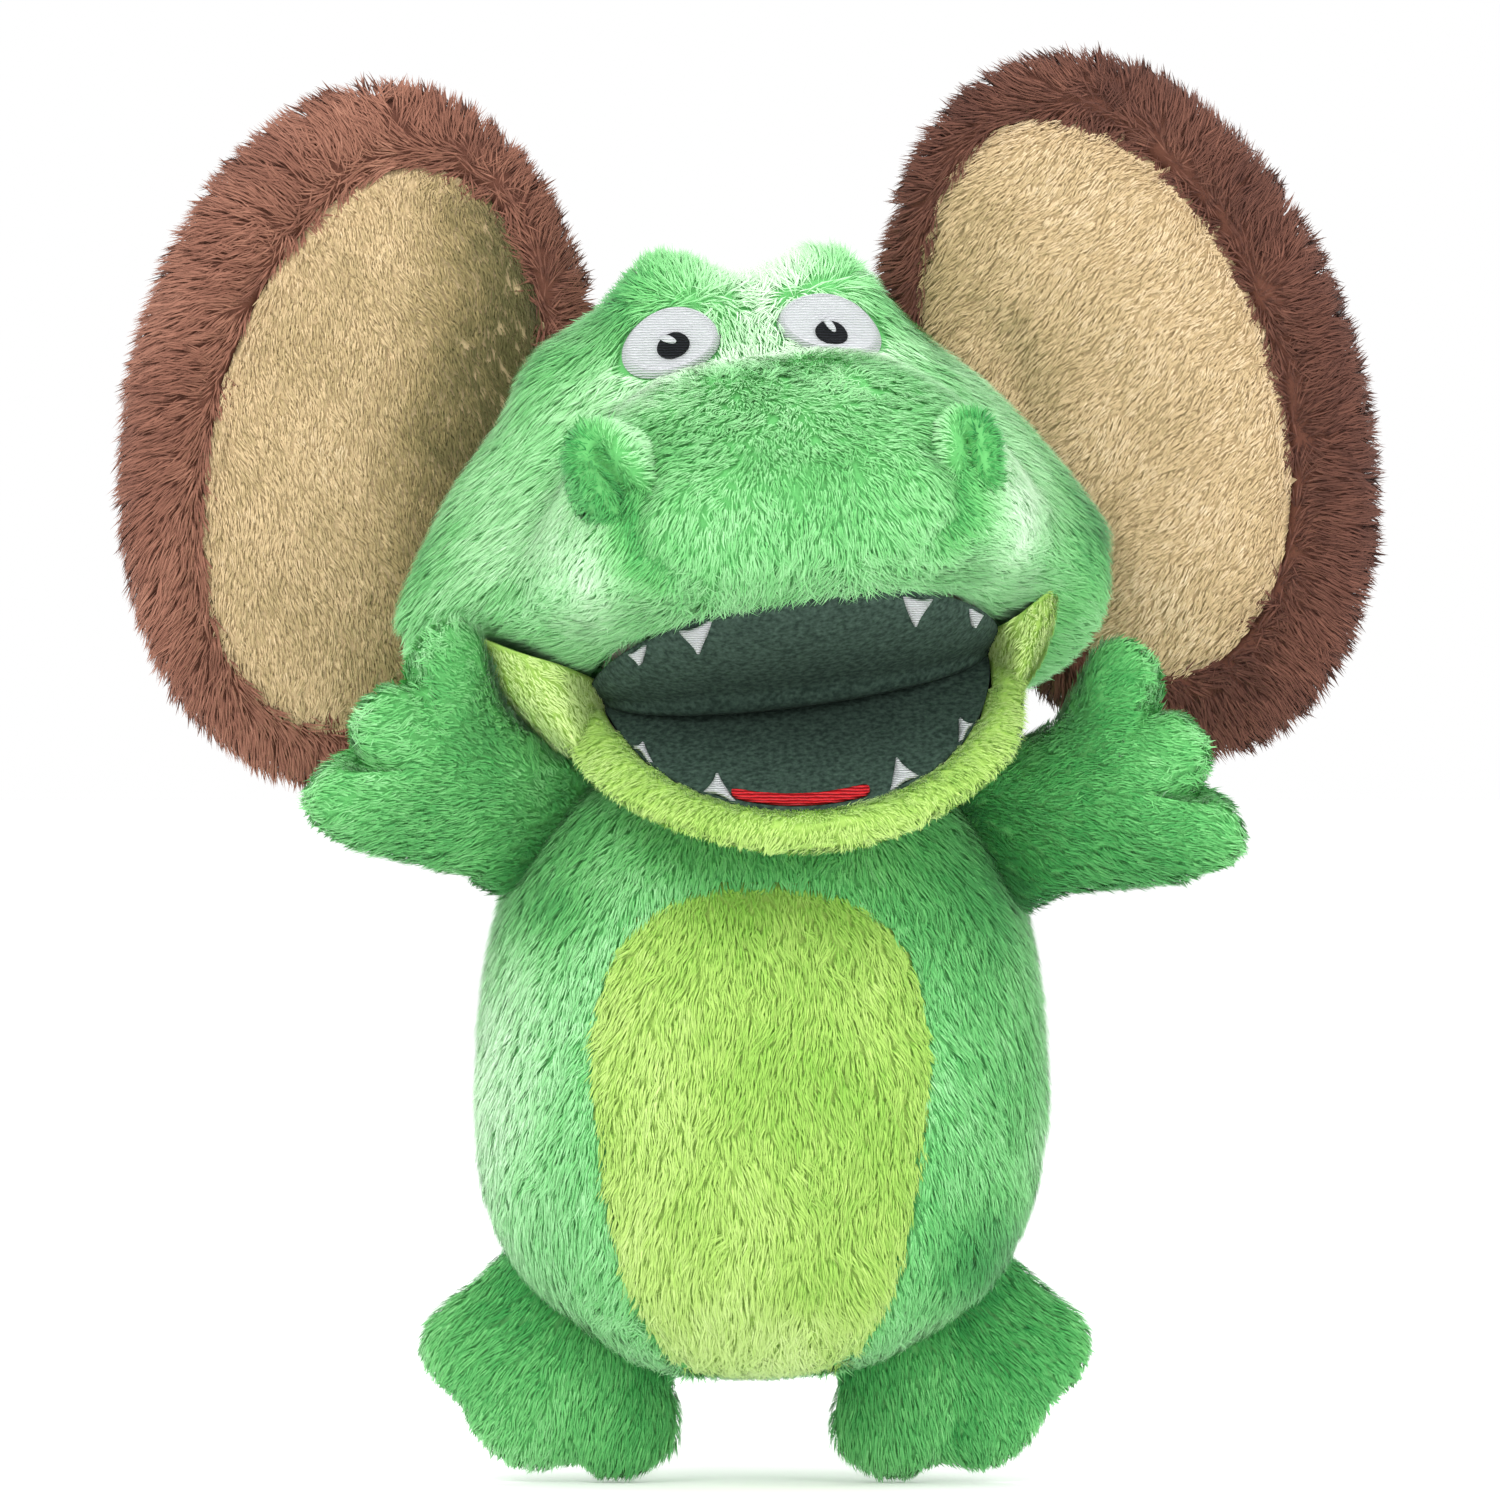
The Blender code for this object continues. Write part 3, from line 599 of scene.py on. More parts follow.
# y, middle, half width, widest at, top, bottom, how much the top narrows
HEAD = (
    (-87.5, 0, 4, 36, 37, 35, 0.0), (-87, 0, 14, 36, 41, 30, 0.0),
    (-85, 0, 28, 36, 45, 25, 0.0), (-80, 0, 39, 36, 50, 21.5, 0.05),
    (-73, 0, 46, 36, 56, 18.5, 0.1), (-64, 0, 51.5, 35, 62.5, 16, 0.15),
    (-54, 0, 55, 33, 68, 13.5, 0.2), (-42, 0, 57.5, 31, 71.5, 10.5, 0.28),
    (-31, 0, 60, 30, 73, 7.7, 0.35), (-24, -1, 62.5, 29, 78, 6, 0.42),
    (-16, -2, 67, 28, 88, 4, 0.48), (-6, -3, 74, 26, 92, 1.5, 0.5),
    (6, -4, 81, 25, 93, -9, 0.5), (20, -5, 84, 25, 93, -17, 0.5),
    (34, -5, 80, 27, 91, -17, 0.46), (50, -4, 68, 30, 86, -10, 0.4),
    (62, -3, 50, 36, 76, 6, 0.3), (70, -2, 28, 42, 62, 24, 0.1), (72, -2, 6, 44, 48, 40, 0.0),
)
MOUTH_HALF, MOUTH_DEPTH = 46.0, 69.0


def head_form():
    rows = smooth_rows(HEAD, 120)
    t = turns(150)
    c, s = np.cos(t), np.sin(t)
    rings = []
    for y, middle, half, widest, top, bottom, taper in rows:
        rise = power(s, 2 / 2.7)
        upper_x = half * power(c, 2 / 2.7) * (1 - taper * np.maximum(rise, 0))
        upper_z = widest + (top - widest) * rise
        lower_z = widest + (widest - bottom) * power(s, 2 / 3.0)
        lower_x = half * power(c, 2 / 3.0)
        x = np.where(s >= 0, upper_x, lower_x) + middle
        z = np.where(s >= 0, upper_z, lower_z)
        rings.append(columns(x, y, z))
    form = rings_form(rings)
    shape_face(form)
    form.points = put(head_frame, form.points)
    return form


def shape_face(form):
    """Brows, the ridge across the snout, cheeks and seams, in the head's frame."""
    p = form.points
    top = p[:, 2] > 45
    for x in (-21, 23):
        rise = bump(p, (x, -8, 88), (13, 15, 22), 9.5)
        p[:, 2] += np.where(top, rise, 0)
        p[:, 1] -= np.where(top, bump(p, (x, -12, 84), (15, 16, 15), 4.5), 0)
    p[:, 2] -= np.where(top, bump(p, (0, -8, 95), (9, 30, 20), 2.0), 0)
    n = form.normals()
    crease = line_distance(p, ((-50, -27, 60), (-24, -28, 73), (0, -29, 71), (24, -28, 73),
                               (50, -27, 60)))
    p -= n * (bell(crease, 4.5) * 1.3)[:, None]
    p -= n * (bell(muzzle_seam(p), 3.2) * 3.4)[:, None]
    p += n * bump(p, (76, 0, 20), (18, 26, 22), -2.0)[:, None]
    p += n * bump(p, (-46, -4, 74), (15, 20, 15), 7.5)[:, None]
    p += n * bump(p, (-84, 0, 16), (14, 26, 14), -4.0)[:, None]
    p[:, 2] += bump(p, (-70, -8, 2), (17, 24, 13), 9.0)
    p += n * (wave(p, 22, 1.3) * 0.7)[:, None]


def muzzle_seam(q):
    """Distance from the seams that run down the muzzle from the nostrils to the lip."""
    half = np.abs(q * (1, 0.25, 1)) * (1, -1, 1)
    return line_distance(half, ((32, -19, 47), (37, -19, 39), (37, -19, 31), (31, -20, 25)))


def mouth_inside(local):
    """Whether points in the palate's or jaw's frame lie inside the mouth's outline."""
    a, b = local[:, 0] / MOUTH_HALF, local[:, 1] / MOUTH_DEPTH
    return (a ** 2 + b ** 2 < 1) & (local[:, 1] < 2)


# soft patches in the head's frame, partly mottled dye and partly painted light and shade: lighter
# along the crease across the snout and on top, darker on the right side, on the back of the left
# side and at the muzzle seams: place, size, how much lighter
FACE_DYE_AND_SHADE = (
    ((2, -47, 66), (24, 9, 4), -0.12), ((0, -32, 71), (50, 15, 8), 0.56),
    ((-22, -52, 62), (10, 10, 7), 0.22), ((14, -56, 60), (12, 14, 7), 0.1),
    ((-48, -62, 28), (9, 32, 18), 0.38), ((52, -58, 32), (9, 32, 18), 0.36),
    ((-66, -20, 40), (18, 28, 16), 0.2), ((64, -20, 40), (16, 28, 18), 0.12),
    ((-84, 5, 46), (11, 24, 14), -0.3), ((76, 4, 34), (13, 24, 24), -0.4),
    ((3, -14, 90), (15, 18, 15), 0.56), ((-31, -14, 92), (10, 14, 9), -0.36),
    ((32, -14, 89), (8, 14, 10), -0.3), ((-48, -4, 84), (11, 16, 12), -0.14),
    ((26, -4, 103), (12, 12, 7), 0.22), ((-18, -4, 103), (12, 12, 7), 0.2),
    ((38, -76, 38), (5, 12, 12), -0.2), ((-38, -76, 38), (4, 12, 12), -0.2),
    ((0, -84, 24), (28, 14, 12), 0.04),
)


def face_tone(p, n):
    q = into(head_frame, p)
    shade = with_patches(0.55 + 0.07 * wave(q, 19, 0.8) + 0.04 * wave(q, 7, 2.4), q, FACE_DYE_AND_SHADE)
    # darker along the muzzle seams on the snout: painted shade in the creases
    return shade - 0.12 * bell(muzzle_seam(q), 2.5) * (q[:, 1] < -40)


def face_comb(p, n):
    q = into(head_frame, p)
    side = np.clip((np.abs(q[:, 0]) - 38) / 14, 0, 1)
    lie = columns(q[:, 0] * 0.016 + np.sign(q[:, 0]) * side * 0.2, 0.1 + 0.35 * side,
                  -0.85 + 0.1 * side)
    up = np.clip((q[:, 2] - 82) / 14, 0, 1)[:, None]
    lie = lie * (1 - up) + up * (0, 0.9, 0.5)
    return turned(head_frame, lie)


def face_length(p):
    q = into(head_frame, p)
    muzzle = np.clip((-q[:, 1] - 22) / 14, 0, 1)
    r = into(palate_frame, p)
    rim = np.sqrt((r[:, 0] / MOUTH_HALF) ** 2 + (r[:, 1] / MOUTH_DEPTH) ** 2)
    lip = bell(rim - 1.1, 0.16) * bell(r[:, 2], 12) * (r[:, 1] < 0)
    return 6.0 - 2.0 * muzzle + 4.2 * lip


def make_head():
    form = head_form()

    def open_mouth(m):
        q = into(palate_frame, m)
        return ~(mouth_inside(q) & (q[:, 2] < 6))
    whole = form.picked(open_mouth)

    def clear_of_eyes(p):
        free = np.ones(len(p), bool)
        for eye in EYES:
            q = into(eye_frame(*eye[1]), p)
            free &= (((q[:, 0] / 11.6) ** 2 + ((q[:, 1] - 0.8) / 8.2) ** 2 > 1)
                     | (np.abs(q[:, 2]) > 16))
        return free
    regions = (("snout", -200, -30, "snout_panel", "head_stuffing"),
               ("face", -30, 26, "face_panel", "cheek_stuffing_left", "cheek_stuffing_right"),
               ("head_back", 26, 200, "head_back_panel"))
    for name, low, high, *nodes in regions:
        def between(p):
            y = into(head_frame, p)[:, 1]
            return (y > low) & (y <= high)
        clad(name, "head", GREEN, whole.picked(between), face_comb, face_tone, nodes,
             whole=whole, length=face_length, fill=0.8,
             keep=lambda p: clear_of_eyes(p) & between(p))
    return form


# ---- embroidery

# side, place and tilt in the head's frame, half sizes, the pupil's middle
EYES = (("left", (-20.3, 77.4, 8.0), (11.8, 9.0), (0.0, -1.3)),
        ("right", (16.8, 76.2, -24.0), (12.6, 8.6), (1.0, -2.0)))


def eye_frame(x, z, tilt):
    return (head_frame @ Matrix.Translation((x, -24, z)) @ Matrix.Rotation(radians(72), 4, "X")
            @ Matrix.Rotation(radians(tilt), 4, "Z"))


def patch(outline, centre, matrix, tree, height, rings=7, border=0.0):
    """A thin patch that follows a form: the outline filled with rings, cast onto it."""
    way = Vector(np.array(matrix)[:3, 2])
    rows = []
    for share in np.linspace(1, 0.12, rings):
        row = []
        rise = height * min(1.0, (1.0 - share) * 6 + 0.15)
        rise += border * bell(share - 0.9, 0.06)
        for a, b in (outline - centre) * share + centre:
            hit = tree.ray_cast(matrix @ Vector((a, b, 40)), -way)[0]
            row.append((hit or matrix @ Vector((a, b, 0))) + way * rise)
        rows.append(row)
    count = len(outline)
    grid = np.array([[tuple(p) for p in row] for row in rows])
    points = np.vstack((grid.reshape(-1, 3), grid[-1].mean(0)))
    faces = ring_faces(rings, count)
    base = (rings - 1) * count
    faces += [(base + i, base + (i + 1) % count, len(points) - 1) for i in range(count)]
    return Form(points, faces)


def make_eyes(form):
    tree = BVHTree.FromPolygons([tuple(p) for p in form.points], form.faces)
    white = thread("eye_thread", (196, 199, 203), (222, 224, 227), 520)
    black = thread("pupil_thread", (8, 8, 10), (30, 32, 38), 520)
    t = turns(48)
    for side, place, half, middle in EYES:
        matrix = eye_frame(*place)
        lower = np.where(np.sin(t) < 0, 0.88, 1.0)
        outline = oval(half[0], half[1] * lower, t)
        shape = patch(outline, (0, 0), matrix, tree, 3.2, 14, 0.7)
        piece = link(shape.mesh("eye"), f"eye_{side}", white)
        dot = link(patch(oval(4.5, 3.5, t) + middle, middle, matrix, tree, 4.0, 6).mesh("pupil"),
                   f"pupil_visual_{side}", black)
        middle = np.array(middle) + (-0.9, 1.7)
        notch = oval(2.9, 1.1, t) @ ((0.8, -0.6), (0.6, 0.8))
        glint = link(patch(notch + middle, middle, matrix, tree, 4.4, 4).mesh("glint"),
                     f"eye_glint_{side}", white)
        dress(piece, "white_thread", "head", "eye_white_" + side)
        dress(dot, "black_thread", "head", "pupil_" + side)
        dress(glint, "white_thread", "head")


# ---- mouth

def felt_point(turn, depth):
    """A place on the mouth's lining: turn from -1 to 1 across, depth 0 at the upper lip,
    1 at the fold and 2 at the lower lip."""
    angle = turn * pi / 2
    x, y = MOUTH_HALF * sin(angle), -MOUTH_DEPTH * cos(angle)
    upper = np.array(palate_frame @ Vector((x * 1.05, y * 1.03, -0.9)))
    lower = np.array(jaw_frame @ Vector((x, y, 0.3)))
    bow = cos(angle) ** 0.8
    fold = np.array(head_frame @ Vector((x, -17 * bow, -9.3 * bow)))
    if depth > 1:
        return fold + (lower - fold) * (depth - 1)
    left = 1 - depth
    sag = np.array((0, 0, -11.0)) * depth ** 0.6 * left ** 1.3
    drape = np.array((0, -4.0, -2.6)) * bell(depth - 0.88, 0.09) * left ** 0.15
    return upper + (fold - upper) * depth + (sag + drape) * bow


def make_felt():
    form = grid_form([[felt_point(turn, depth) for turn in np.linspace(-1, 1, 65)]
                      for depth in np.linspace(0, 2, 65)])
    piece = link(form.mesh("felt"), "mouth_lining",
                 cloth("mouth_felt", (33, 50, 43), (70, 91, 80), 800, 1200))
    thicken(piece, 1.6, 0)
    apply_modifiers(piece)
    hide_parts("upper_palate", "lower_palate")
    blend_jaw(piece)


def blend_jaw(piece):
    """Bakes the piece's place into its points; it is attached to no body."""
    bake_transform(piece)


TEETH = (("upper", 1, -0.58, 6.0, 0.13), ("upper", 2, -0.35, 8.0, 0.19),
         ("upper", 3, 0.37, 8.0, 0.19), ("upper", 4, 0.65, 6.5, 0.16),
         ("lower", 1, -0.67, 7.0, 0.24), ("lower", 2, -0.36, 7.5, 0.24),
         ("lower", 3, 0.26, 7.5, 0.24), ("lower", 4, 0.56, 6.5, 0.22))


def on_felt(corners, steps, raised):
    """A three-sided patch on the felt between (turn, depth) corners, raised from it."""
    a, b, tip = [np.array(c) for c in corners]
    rows = []
    for share in np.linspace(0, 1, steps):
        left, right = a + (tip - a) * share, b + (tip - b) * share
        rows.append([felt_point(*(left + (right - left) * f)) for f in np.linspace(0, 1, steps)])
    grid = np.array(rows)
    across = unit(grid[0, -1] - grid[0, 0])
    along = unit(grid[-1, 0] - grid[0].mean(0))
    out = unit(np.cross(across, along))
    out *= -np.sign(out[1]) if abs(out[1]) > 0.2 else np.sign(out[2])
    f = np.linspace(-1, 1, steps)
    swell = (1 - f ** 2) * 0.7 + 0.3
    grid = grid + out * raised * swell[None, :, None]
    return grid_form(grid)


def make_teeth():
    silver = thread("tooth_thread", (178, 181, 184), (218, 220, 223), 600)
    for row, number, turn, width, depth in TEETH:
        half = width / MOUTH_HALF / pi
        rim = 0.015 if row == "upper" else 1.985
        tip = depth if row == "upper" else 2 - depth
        form = on_felt(((turn - half, rim), (turn + half, rim), (turn * 0.97, tip)), 9, 1.7)
        piece = link(form.mesh("tooth"), f"{row}_tooth_visual_{number}", silver)
        thicken(piece, 0.8, 0)
        dress(piece, "silver_thread", "head" if row == "upper" else "lower_jaw",
              f"{row}_tooth_{number}")


def make_tongue():
    red = thread("tongue_thread", (140, 12, 22), (212, 36, 44), 420)
    rows = []
    for share in np.linspace(-1, 1, 9):
        half = 0.2 + 0.025 * sqrt(1.02 - share ** 2)
        rows.append([felt_point(-0.09 + f * half, 1.93 - 0.045 * share) + (0, -0.6, 1.3)
                     for f in np.linspace(-1, 1, 24)])
    piece = link(grid_form(rows).mesh("tongue"), "tongue_visual", red)
    thicken(piece, 0.8, 0)
    dress(piece, "red_thread", "lower_jaw", "tongue")


# ---- lower jaw

# y, half width, depth
JAW = (
    (-77, 3, 1.5), (-76.3, 10, 4.5), (-73.5, 19, 7), (-68, 27.5, 8.5), (-60, 36, 10.5),
    (-50, 44, 12.5), (-38, 50.5, 14.5), (-24, 54.5, 17), (-10, 57, 19), (2, 56, 19),
    (9, 48, 16), (12, 28, 10), (13, 6, 4),
)


def jaw_form():
    rows = smooth_rows(JAW, 90)
    t = turns(120)
    c, s = np.cos(t), np.sin(t)
    rings = []
    for y, half, depth in rows:
        depth = max(depth, 1.0)
        z = np.where(s >= 0, -1.5 + 1.5 * power(np.maximum(s, 0), 0.5), -1.5 + (depth - 1.5) * s)
        rings.append(columns(half * c, y, z))
    form = rings_form(rings)
    p = form.points
    p[:, 0] -= np.clip((p[:, 0] - 44) / 13, 0, 1) * 4.5
    a, b = p[:, 0] / MOUTH_HALF, p[:, 1] / MOUTH_DEPTH
    reach = (np.sqrt(a ** 2 + b ** 2) - 1) * 52
    top = p[:, 2] > -2.2
    p[:, 2] += np.where(top, 2.4 * bell(reach - 4.5, 4.0), 0)
    form.points = put(jaw_frame, p)
    return form


def lime_tone(p, n):
    q = into(jaw_frame, p)
    shade = 0.68 + 0.1 * wave(p, 12, 0.3) + 0.05 * wave(p, 4, 1.3)
    # darker towards the jaw's underside: painted shade below the jaw
    return shade - 0.3 * np.clip((-q[:, 2] - 6) / 10, 0, 1)


def jaw_comb(p, n):
    q = into(jaw_frame, p)
    lie = columns(q[:, 0] * 0.03, -0.7, -0.6)
    return turned(jaw_frame, lie)


def make_jaw():
    form = jaw_form()

    def open_mouth(m):
        q = into(jaw_frame, m)
        return ~(mouth_inside(q) & (q[:, 2] > -4)) & (q[:, 1] < 8)
    clad("lower_jaw", "lower_jaw", LIME, form.picked(open_mouth), jaw_comb, lime_tone,
         ("lower_jaw_panel",), thickness=1.6, fill=0.5, length=3.0, density=3.0, width=0.3)


# the gusset's edges: along the cheek in the head's frame, along the jaw in its own
GUSSET_CHEEK = {
    "left": ((45, -8, 1.5), (55, -19, 7), (65, -17, 11.5), (73, -9, 15.5), (76, 4, 16),
             (68, 14, 12)),
    "right": ((45, -8, 1.5), (51, -18, 4), (57, -15, 7), (62, -8, 9.5), (64, 2, 9), (58, 12, 6)),
}
GUSSET_JAW = {
    "left": ((45, -6, -0.5), (53, -22, -1.5), (57, -14, -6), (58, -5, -10), (54, 3, -14),
             (46, 8, -13)),
    "right": ((45, -6, -0.5), (49, -22, -1.5), (52, -14, -6), (53, -5, -10), (50, 3, -14),
              (44, 8, -13)),
}


def make_gussets():
    """Lime cloth that closes the gap between the cheek and the jaw, behind the mouth's corner."""
    steps = 40
    for side, sign in SIGN.items():
        upper = put(head_frame, smooth_rows(GUSSET_CHEEK[side], steps) * (sign, 1, 1))
        lower = put(jaw_frame, smooth_rows(GUSSET_JAW[side], steps) * (sign, 1, 1))
        spread = np.sin(np.linspace(0, pi, steps)) ** 0.5
        rows = []
        for share in np.linspace(0, 1, 16):
            bulge = 4.0 * sin(pi * share) * spread[:, None] * (sign * 0.7, -0.7, -0.1)
            rows.append(upper + (lower - upper) * share + bulge)
        form = grid_form(rows if sign > 0 else [row[::-1] for row in rows]).facing((sign, 0, 0))

        def comb(p, n):
            return np.tile((-0.5 * sign, -0.5, -0.7), (len(p), 1))
        clad("jaw_gusset_" + side, None, LIME, form, comb, lambda p, n: 0.9 + 0.08 * wave(p, 9, 1),
             thickness=1.0, length=3.0, density=3.0, width=0.3)


# ---- stuffed limbs and ears

def pillow_form(outline, depth, rings=14):
    """A stuffed flat shape: both faces swell from the seam. In its own plane, Z to the front."""
    centre = outline.mean(0)
    shares = [s for s in np.sin(np.linspace(0, pi / 2, rings)) if 0.05 < s < 1]
    levels = [(s, -1) for s in shares] + [(1.0, 0)] + [(s, 1) for s in shares[::-1]]
    return rings_form([columns(*(centre + (outline - centre) * share).T,
                               depth * (1 - share ** 2) ** 0.5 * side)
                       for share, side in levels])


SWELL_FRAMES, SWELL_MOST = 16, 4.0


def inflate(form, pinned, pressure=4.0):
    """Lets the cloth of a closed form swell and crease; pinned points stay."""
    thing = add("cloth", form.mesh("cloth"))
    grip = thing.vertex_groups.new(name="pin")
    weights = pinned(form.points)
    for i in np.nonzero(weights > 0)[0]:
        grip.add([int(i)], float(weights[i]), "REPLACE")
    fabric = thing.modifiers.new("cloth", "CLOTH")
    for setting, value in (("use_pressure", True), ("uniform_pressure_force", pressure),
                           ("vertex_group_mass", "pin"), ("tension_stiffness", 18),
                           ("compression_stiffness", 18), ("shear_stiffness", 6),
                           ("bending_stiffness", 0.8), ("quality", 6)):
        setattr(fabric.settings, setting, value)
    fabric.settings.effector_weights.gravity = 0
    fabric.collision_settings.use_collision = False
    fabric.point_cache.frame_start, fabric.point_cache.frame_end = 1, SWELL_FRAMES
    scene = bpy.context.scene
    for number in range(1, SWELL_FRAMES + 1):
        scene.frame_set(number)
    shape = thing.evaluated_get(bpy.context.evaluated_depsgraph_get())
    moved = to_measure([tuple(v.co) for v in shape.data.vertices])
    scene.frame_set(1)
    bpy.data.objects.remove(thing, do_unlink=True)
    shift = moved - form.points
    size = np.linalg.norm(shift, axis=1, keepdims=True)
    shift = np.where(np.isfinite(size), shift, 0)
    shift *= np.minimum(1, SWELL_MOST / np.maximum(size, 1e-6))
    return Form(form.points + shift, form.faces)


def limb_matrix(place, out, along):
    front = np.cross(out, along)
    m = np.eye(4)
    m[:3] = np.column_stack((out, along, front, place))
    return Matrix(m)


ARM_OUTLINE = (
    (-6, 16), (10, 15.5), (28, 15.5), (40, 21), (49, 27), (56.5, 25.5), (59.5, 17), (53, 9),
    (60, 5), (63, -2), (60.5, -9), (53, -13.5), (60.5, -18), (62, -25), (57, -30),
    (46, -30), (30, -26), (12, -20.5), (-6, -16),
)
# side, root, rise and swing in degrees
ARMS = (("left", (-50.5, -11, 157), 35, 38), ("right", (54.5, -11, 155.5), 26, 34))
FOOT_OUTLINE = (
    (-8, -19), (4, -22), (14, -24), (24, -26.5), (31, -25.5), (35.5, -20), (37, -11), (40.5, -3),
    (42, 5), (39.5, 13), (33, 20), (31.5, 27), (26, 33), (17, 36.5), (10, 33), (4, 27), (-8, 20),
)
FEET = (("left", (-41, 3, 44)), ("right", (38.5, 3, 44)))
FOOT_SLOPE, LIMB_DEPTH = radians(36), 10.5


def make_limb(kind, side, outline, matrix, tip_start, tip_long):
    """An arm or a foot along its own X. Its tip is thinner and paler, with shorter pile."""
    form = pillow_form(spline(outline, 120), LIMB_DEPTH)

    def tip(q):
        return np.clip((q[:, 0] - tip_start) / tip_long, 0, 1)
    form.points[:, 2] *= 1 - 0.25 * tip(form.points)
    form.points = put(matrix, form.points)

    def seam(points):
        q = into(matrix, points)
        return np.where((np.abs(q[:, 2]) < 0.4) | (q[:, 0] < -2), 1.0, 0.0)
    form = inflate(form, seam)

    def comb(points, n):
        q = into(matrix, points)
        lie = columns(1, q[:, 1] * 0.02, 0)
        return turned(matrix, lie) + (0, 0, -0.35)

    def shade(points, n):
        q = into(matrix, points)
        base = 0.42 - 0.13 * (points[:, 0] > 45) + 0.1 * wave(points, 16, 2.2)
        base = base + 0.04 * wave(points, 5, 0.6)
        # painted shade darker at the root by the body; painted light along the seam round the
        # outline, where the pile is lit from behind
        return base + 0.14 * tip(q) - 0.2 * bell(q[:, 0], 9) + 0.14 * bell(q[:, 2], 3)
    clad(f"{kind}_{side}", f"{kind}_{side}", GREEN, form, comb, shade,
         (f"{kind}_front_{side}", f"{kind}_back_{side}", f"{kind}_stuffing_{side}"), thickness=0,
         fill=0.6, length=lambda p: np.where(into(matrix, p)[:, 0] > tip_start, 3.8, 5.0))


def make_limbs():
    for side, place, rise, swing in ARMS:
        sign, rise = SIGN[side], radians(rise)
        out = Vector((cos(rise) * sign, 0, sin(rise)))
        along = Vector((-sin(rise) * sign, 0, cos(rise)))
        out = Matrix.Rotation(-radians(swing) * sign, 3, along) @ out
        matrix = limb_matrix(place, np.array(out), np.array(along))
        make_limb("arm", side, ARM_OUTLINE, matrix, 42, 20)
    for side, place in FEET:
        sign = SIGN[side]
        out = np.array((sin(FOOT_SLOPE) * sign, 0, -cos(FOOT_SLOPE)))
        along = np.array((-cos(FOOT_SLOPE) * sign, 0, -sin(FOOT_SLOPE)))
        make_limb("foot", side, FOOT_OUTLINE, limb_matrix(place, out, along), 26, 16)


# side, middle, half sizes, tilt, tan middle, tan half sizes, tan tilt
EARS = (
    ("left", (-97, 30, 249.5), (53.5, 80.5), 8, (-93, 247), (38.5, 68.5), 14),
    ("right", (88, 30, 257), (52.5, 82.5), -18, (83, 259), (41, 69), -18),
)


def ear_matrix(middle, tilt):
    return (Matrix.Translation(middle) @ Matrix.Rotation(radians(90), 4, "X")
            @ Matrix.Rotation(-radians(tilt), 4, "Z"))


def make_ears():
    for side, middle, half, tilt, tan_middle, tan_half, tan_tilt in EARS:
        matrix = ear_matrix(middle, tilt)
        tan_matrix = ear_matrix((tan_middle[0], middle[1], tan_middle[1]), tan_tilt)
        t = turns(180)
        form = pillow_form(oval(*half, t), 12.5, rings=26)
        form.points = put(matrix, form.points)

        def place(p):
            """Below 1 inside the tan part's outline, on the front."""
            q = into(tan_matrix, p)[:, :2] / tan_half
            return np.where(into(matrix, p)[:, 2] > 0, (q ** 2).sum(1), 9.0)
        q = into(tan_matrix, form.points)
        ring = np.sqrt(place(form.points))
        edge = np.abs(ring - 1) < 0.03
        q[edge, :2] /= ring[edge, None]
        form.points = put(tan_matrix, q)
        n = form.normals()
        ring = np.sqrt(place(form.points))
        dent = bump(into(matrix, form.points), (-24 * SIGN[side], 8, 10), (9, 34, 9), 3)
        form.points -= n * (dent * (ring < 1))[:, None]
        form.points += n * (-2.6 * bell(ring - 1, 0.05)
                            + 1.5 * bell(ring - 1.25, 0.15)
                            + wave(form.points, 19, 1.0) * 1.0
                            * (ring < 1))[:, None]

        def seam(points):
            return np.where(np.abs(np.sqrt(place(points)) - 1) < 0.04, 1.0, 0.0)
        form = inflate(form, seam, pressure=3.0)

        def rim_comb(p, n):
            x, y = (into(matrix, p)[:, :2] / half).T
            lie, around = columns(x, y, -0.15), columns(-y, x, 0)
            inward = bell(np.sqrt(place(p)) - 1, 0.06)[:, None]
            return turned(matrix, lie * (1 - 1.1 * inward) + around * 0.4) + (0, 0, -0.3)

        def tan_comb(p, n):
            return np.tile((0.2 if side == "left" else -0.75, 0.0, -0.8), (len(p), 1))

        def near(p, width):
            """From 0 at the ear's middle to 1 a width towards the head."""
            return np.clip(-SIGN[side] * into(matrix, p)[:, 0] / width, 0, 1)

        def rim_tone(p, n):
            # the left rim darker towards the head: painted shade where the ear stands behind the
            # head
            base = 0.64 - 0.26 * near(p, 50) if side == "left" else 0.3
            return base + 0.1 * wave(p, 15, 0.2) + 0.05 * wave(p, 5, 1.0)

        def tan_tone(p, n):
            # the tan darker towards the head, much more on the left: painted shade where the ear
            # stands behind the head
            dark = 0.74 * near(p, 36) ** 1.3 + 0.08 if side == "left" else 0.12 * near(p, 36)
            return 0.62 + 0.07 * wave(p, 14, 0.5) + 0.04 * wave(p, 4, 0.1) - dark

        for name, test, plush, comb, tone, nodes, strands in (
                ("ear_rim", lambda p: place(p) > 1, BROWN, rim_comb, rim_tone,
                 ("ear_back_" + side, "ear_stuffing_" + side),
                 dict(length=6.5, density=2.5, width=0.36, lift=0.42, tuft=9)),
                ("ear_inside", lambda p: place(p) <= 1, TAN, tan_comb, tan_tone,
                 ("ear_inner_" + side,),
                 dict(length=3.4, density=3.4, width=0.34, lift=0.36, tuft=4, mess=0.14))):
            clad(f"{name}_{side}", "ear_" + side, plush, form.picked(test), comb, tone, nodes,
                 whole=form, keep=test, fill=0.5, **strands)


# ---- nostrils and neck

# side, middle in the head's frame, half sizes, the slit's lean, its half length, paler side
NOSTRILS = (("left", (-41, -71, 49), (10, 9, 11.5), 28, 6.5, 1),
            ("right", (41, -72.5, 43), (6.4, 8, 9), -4, 5.5, -1))


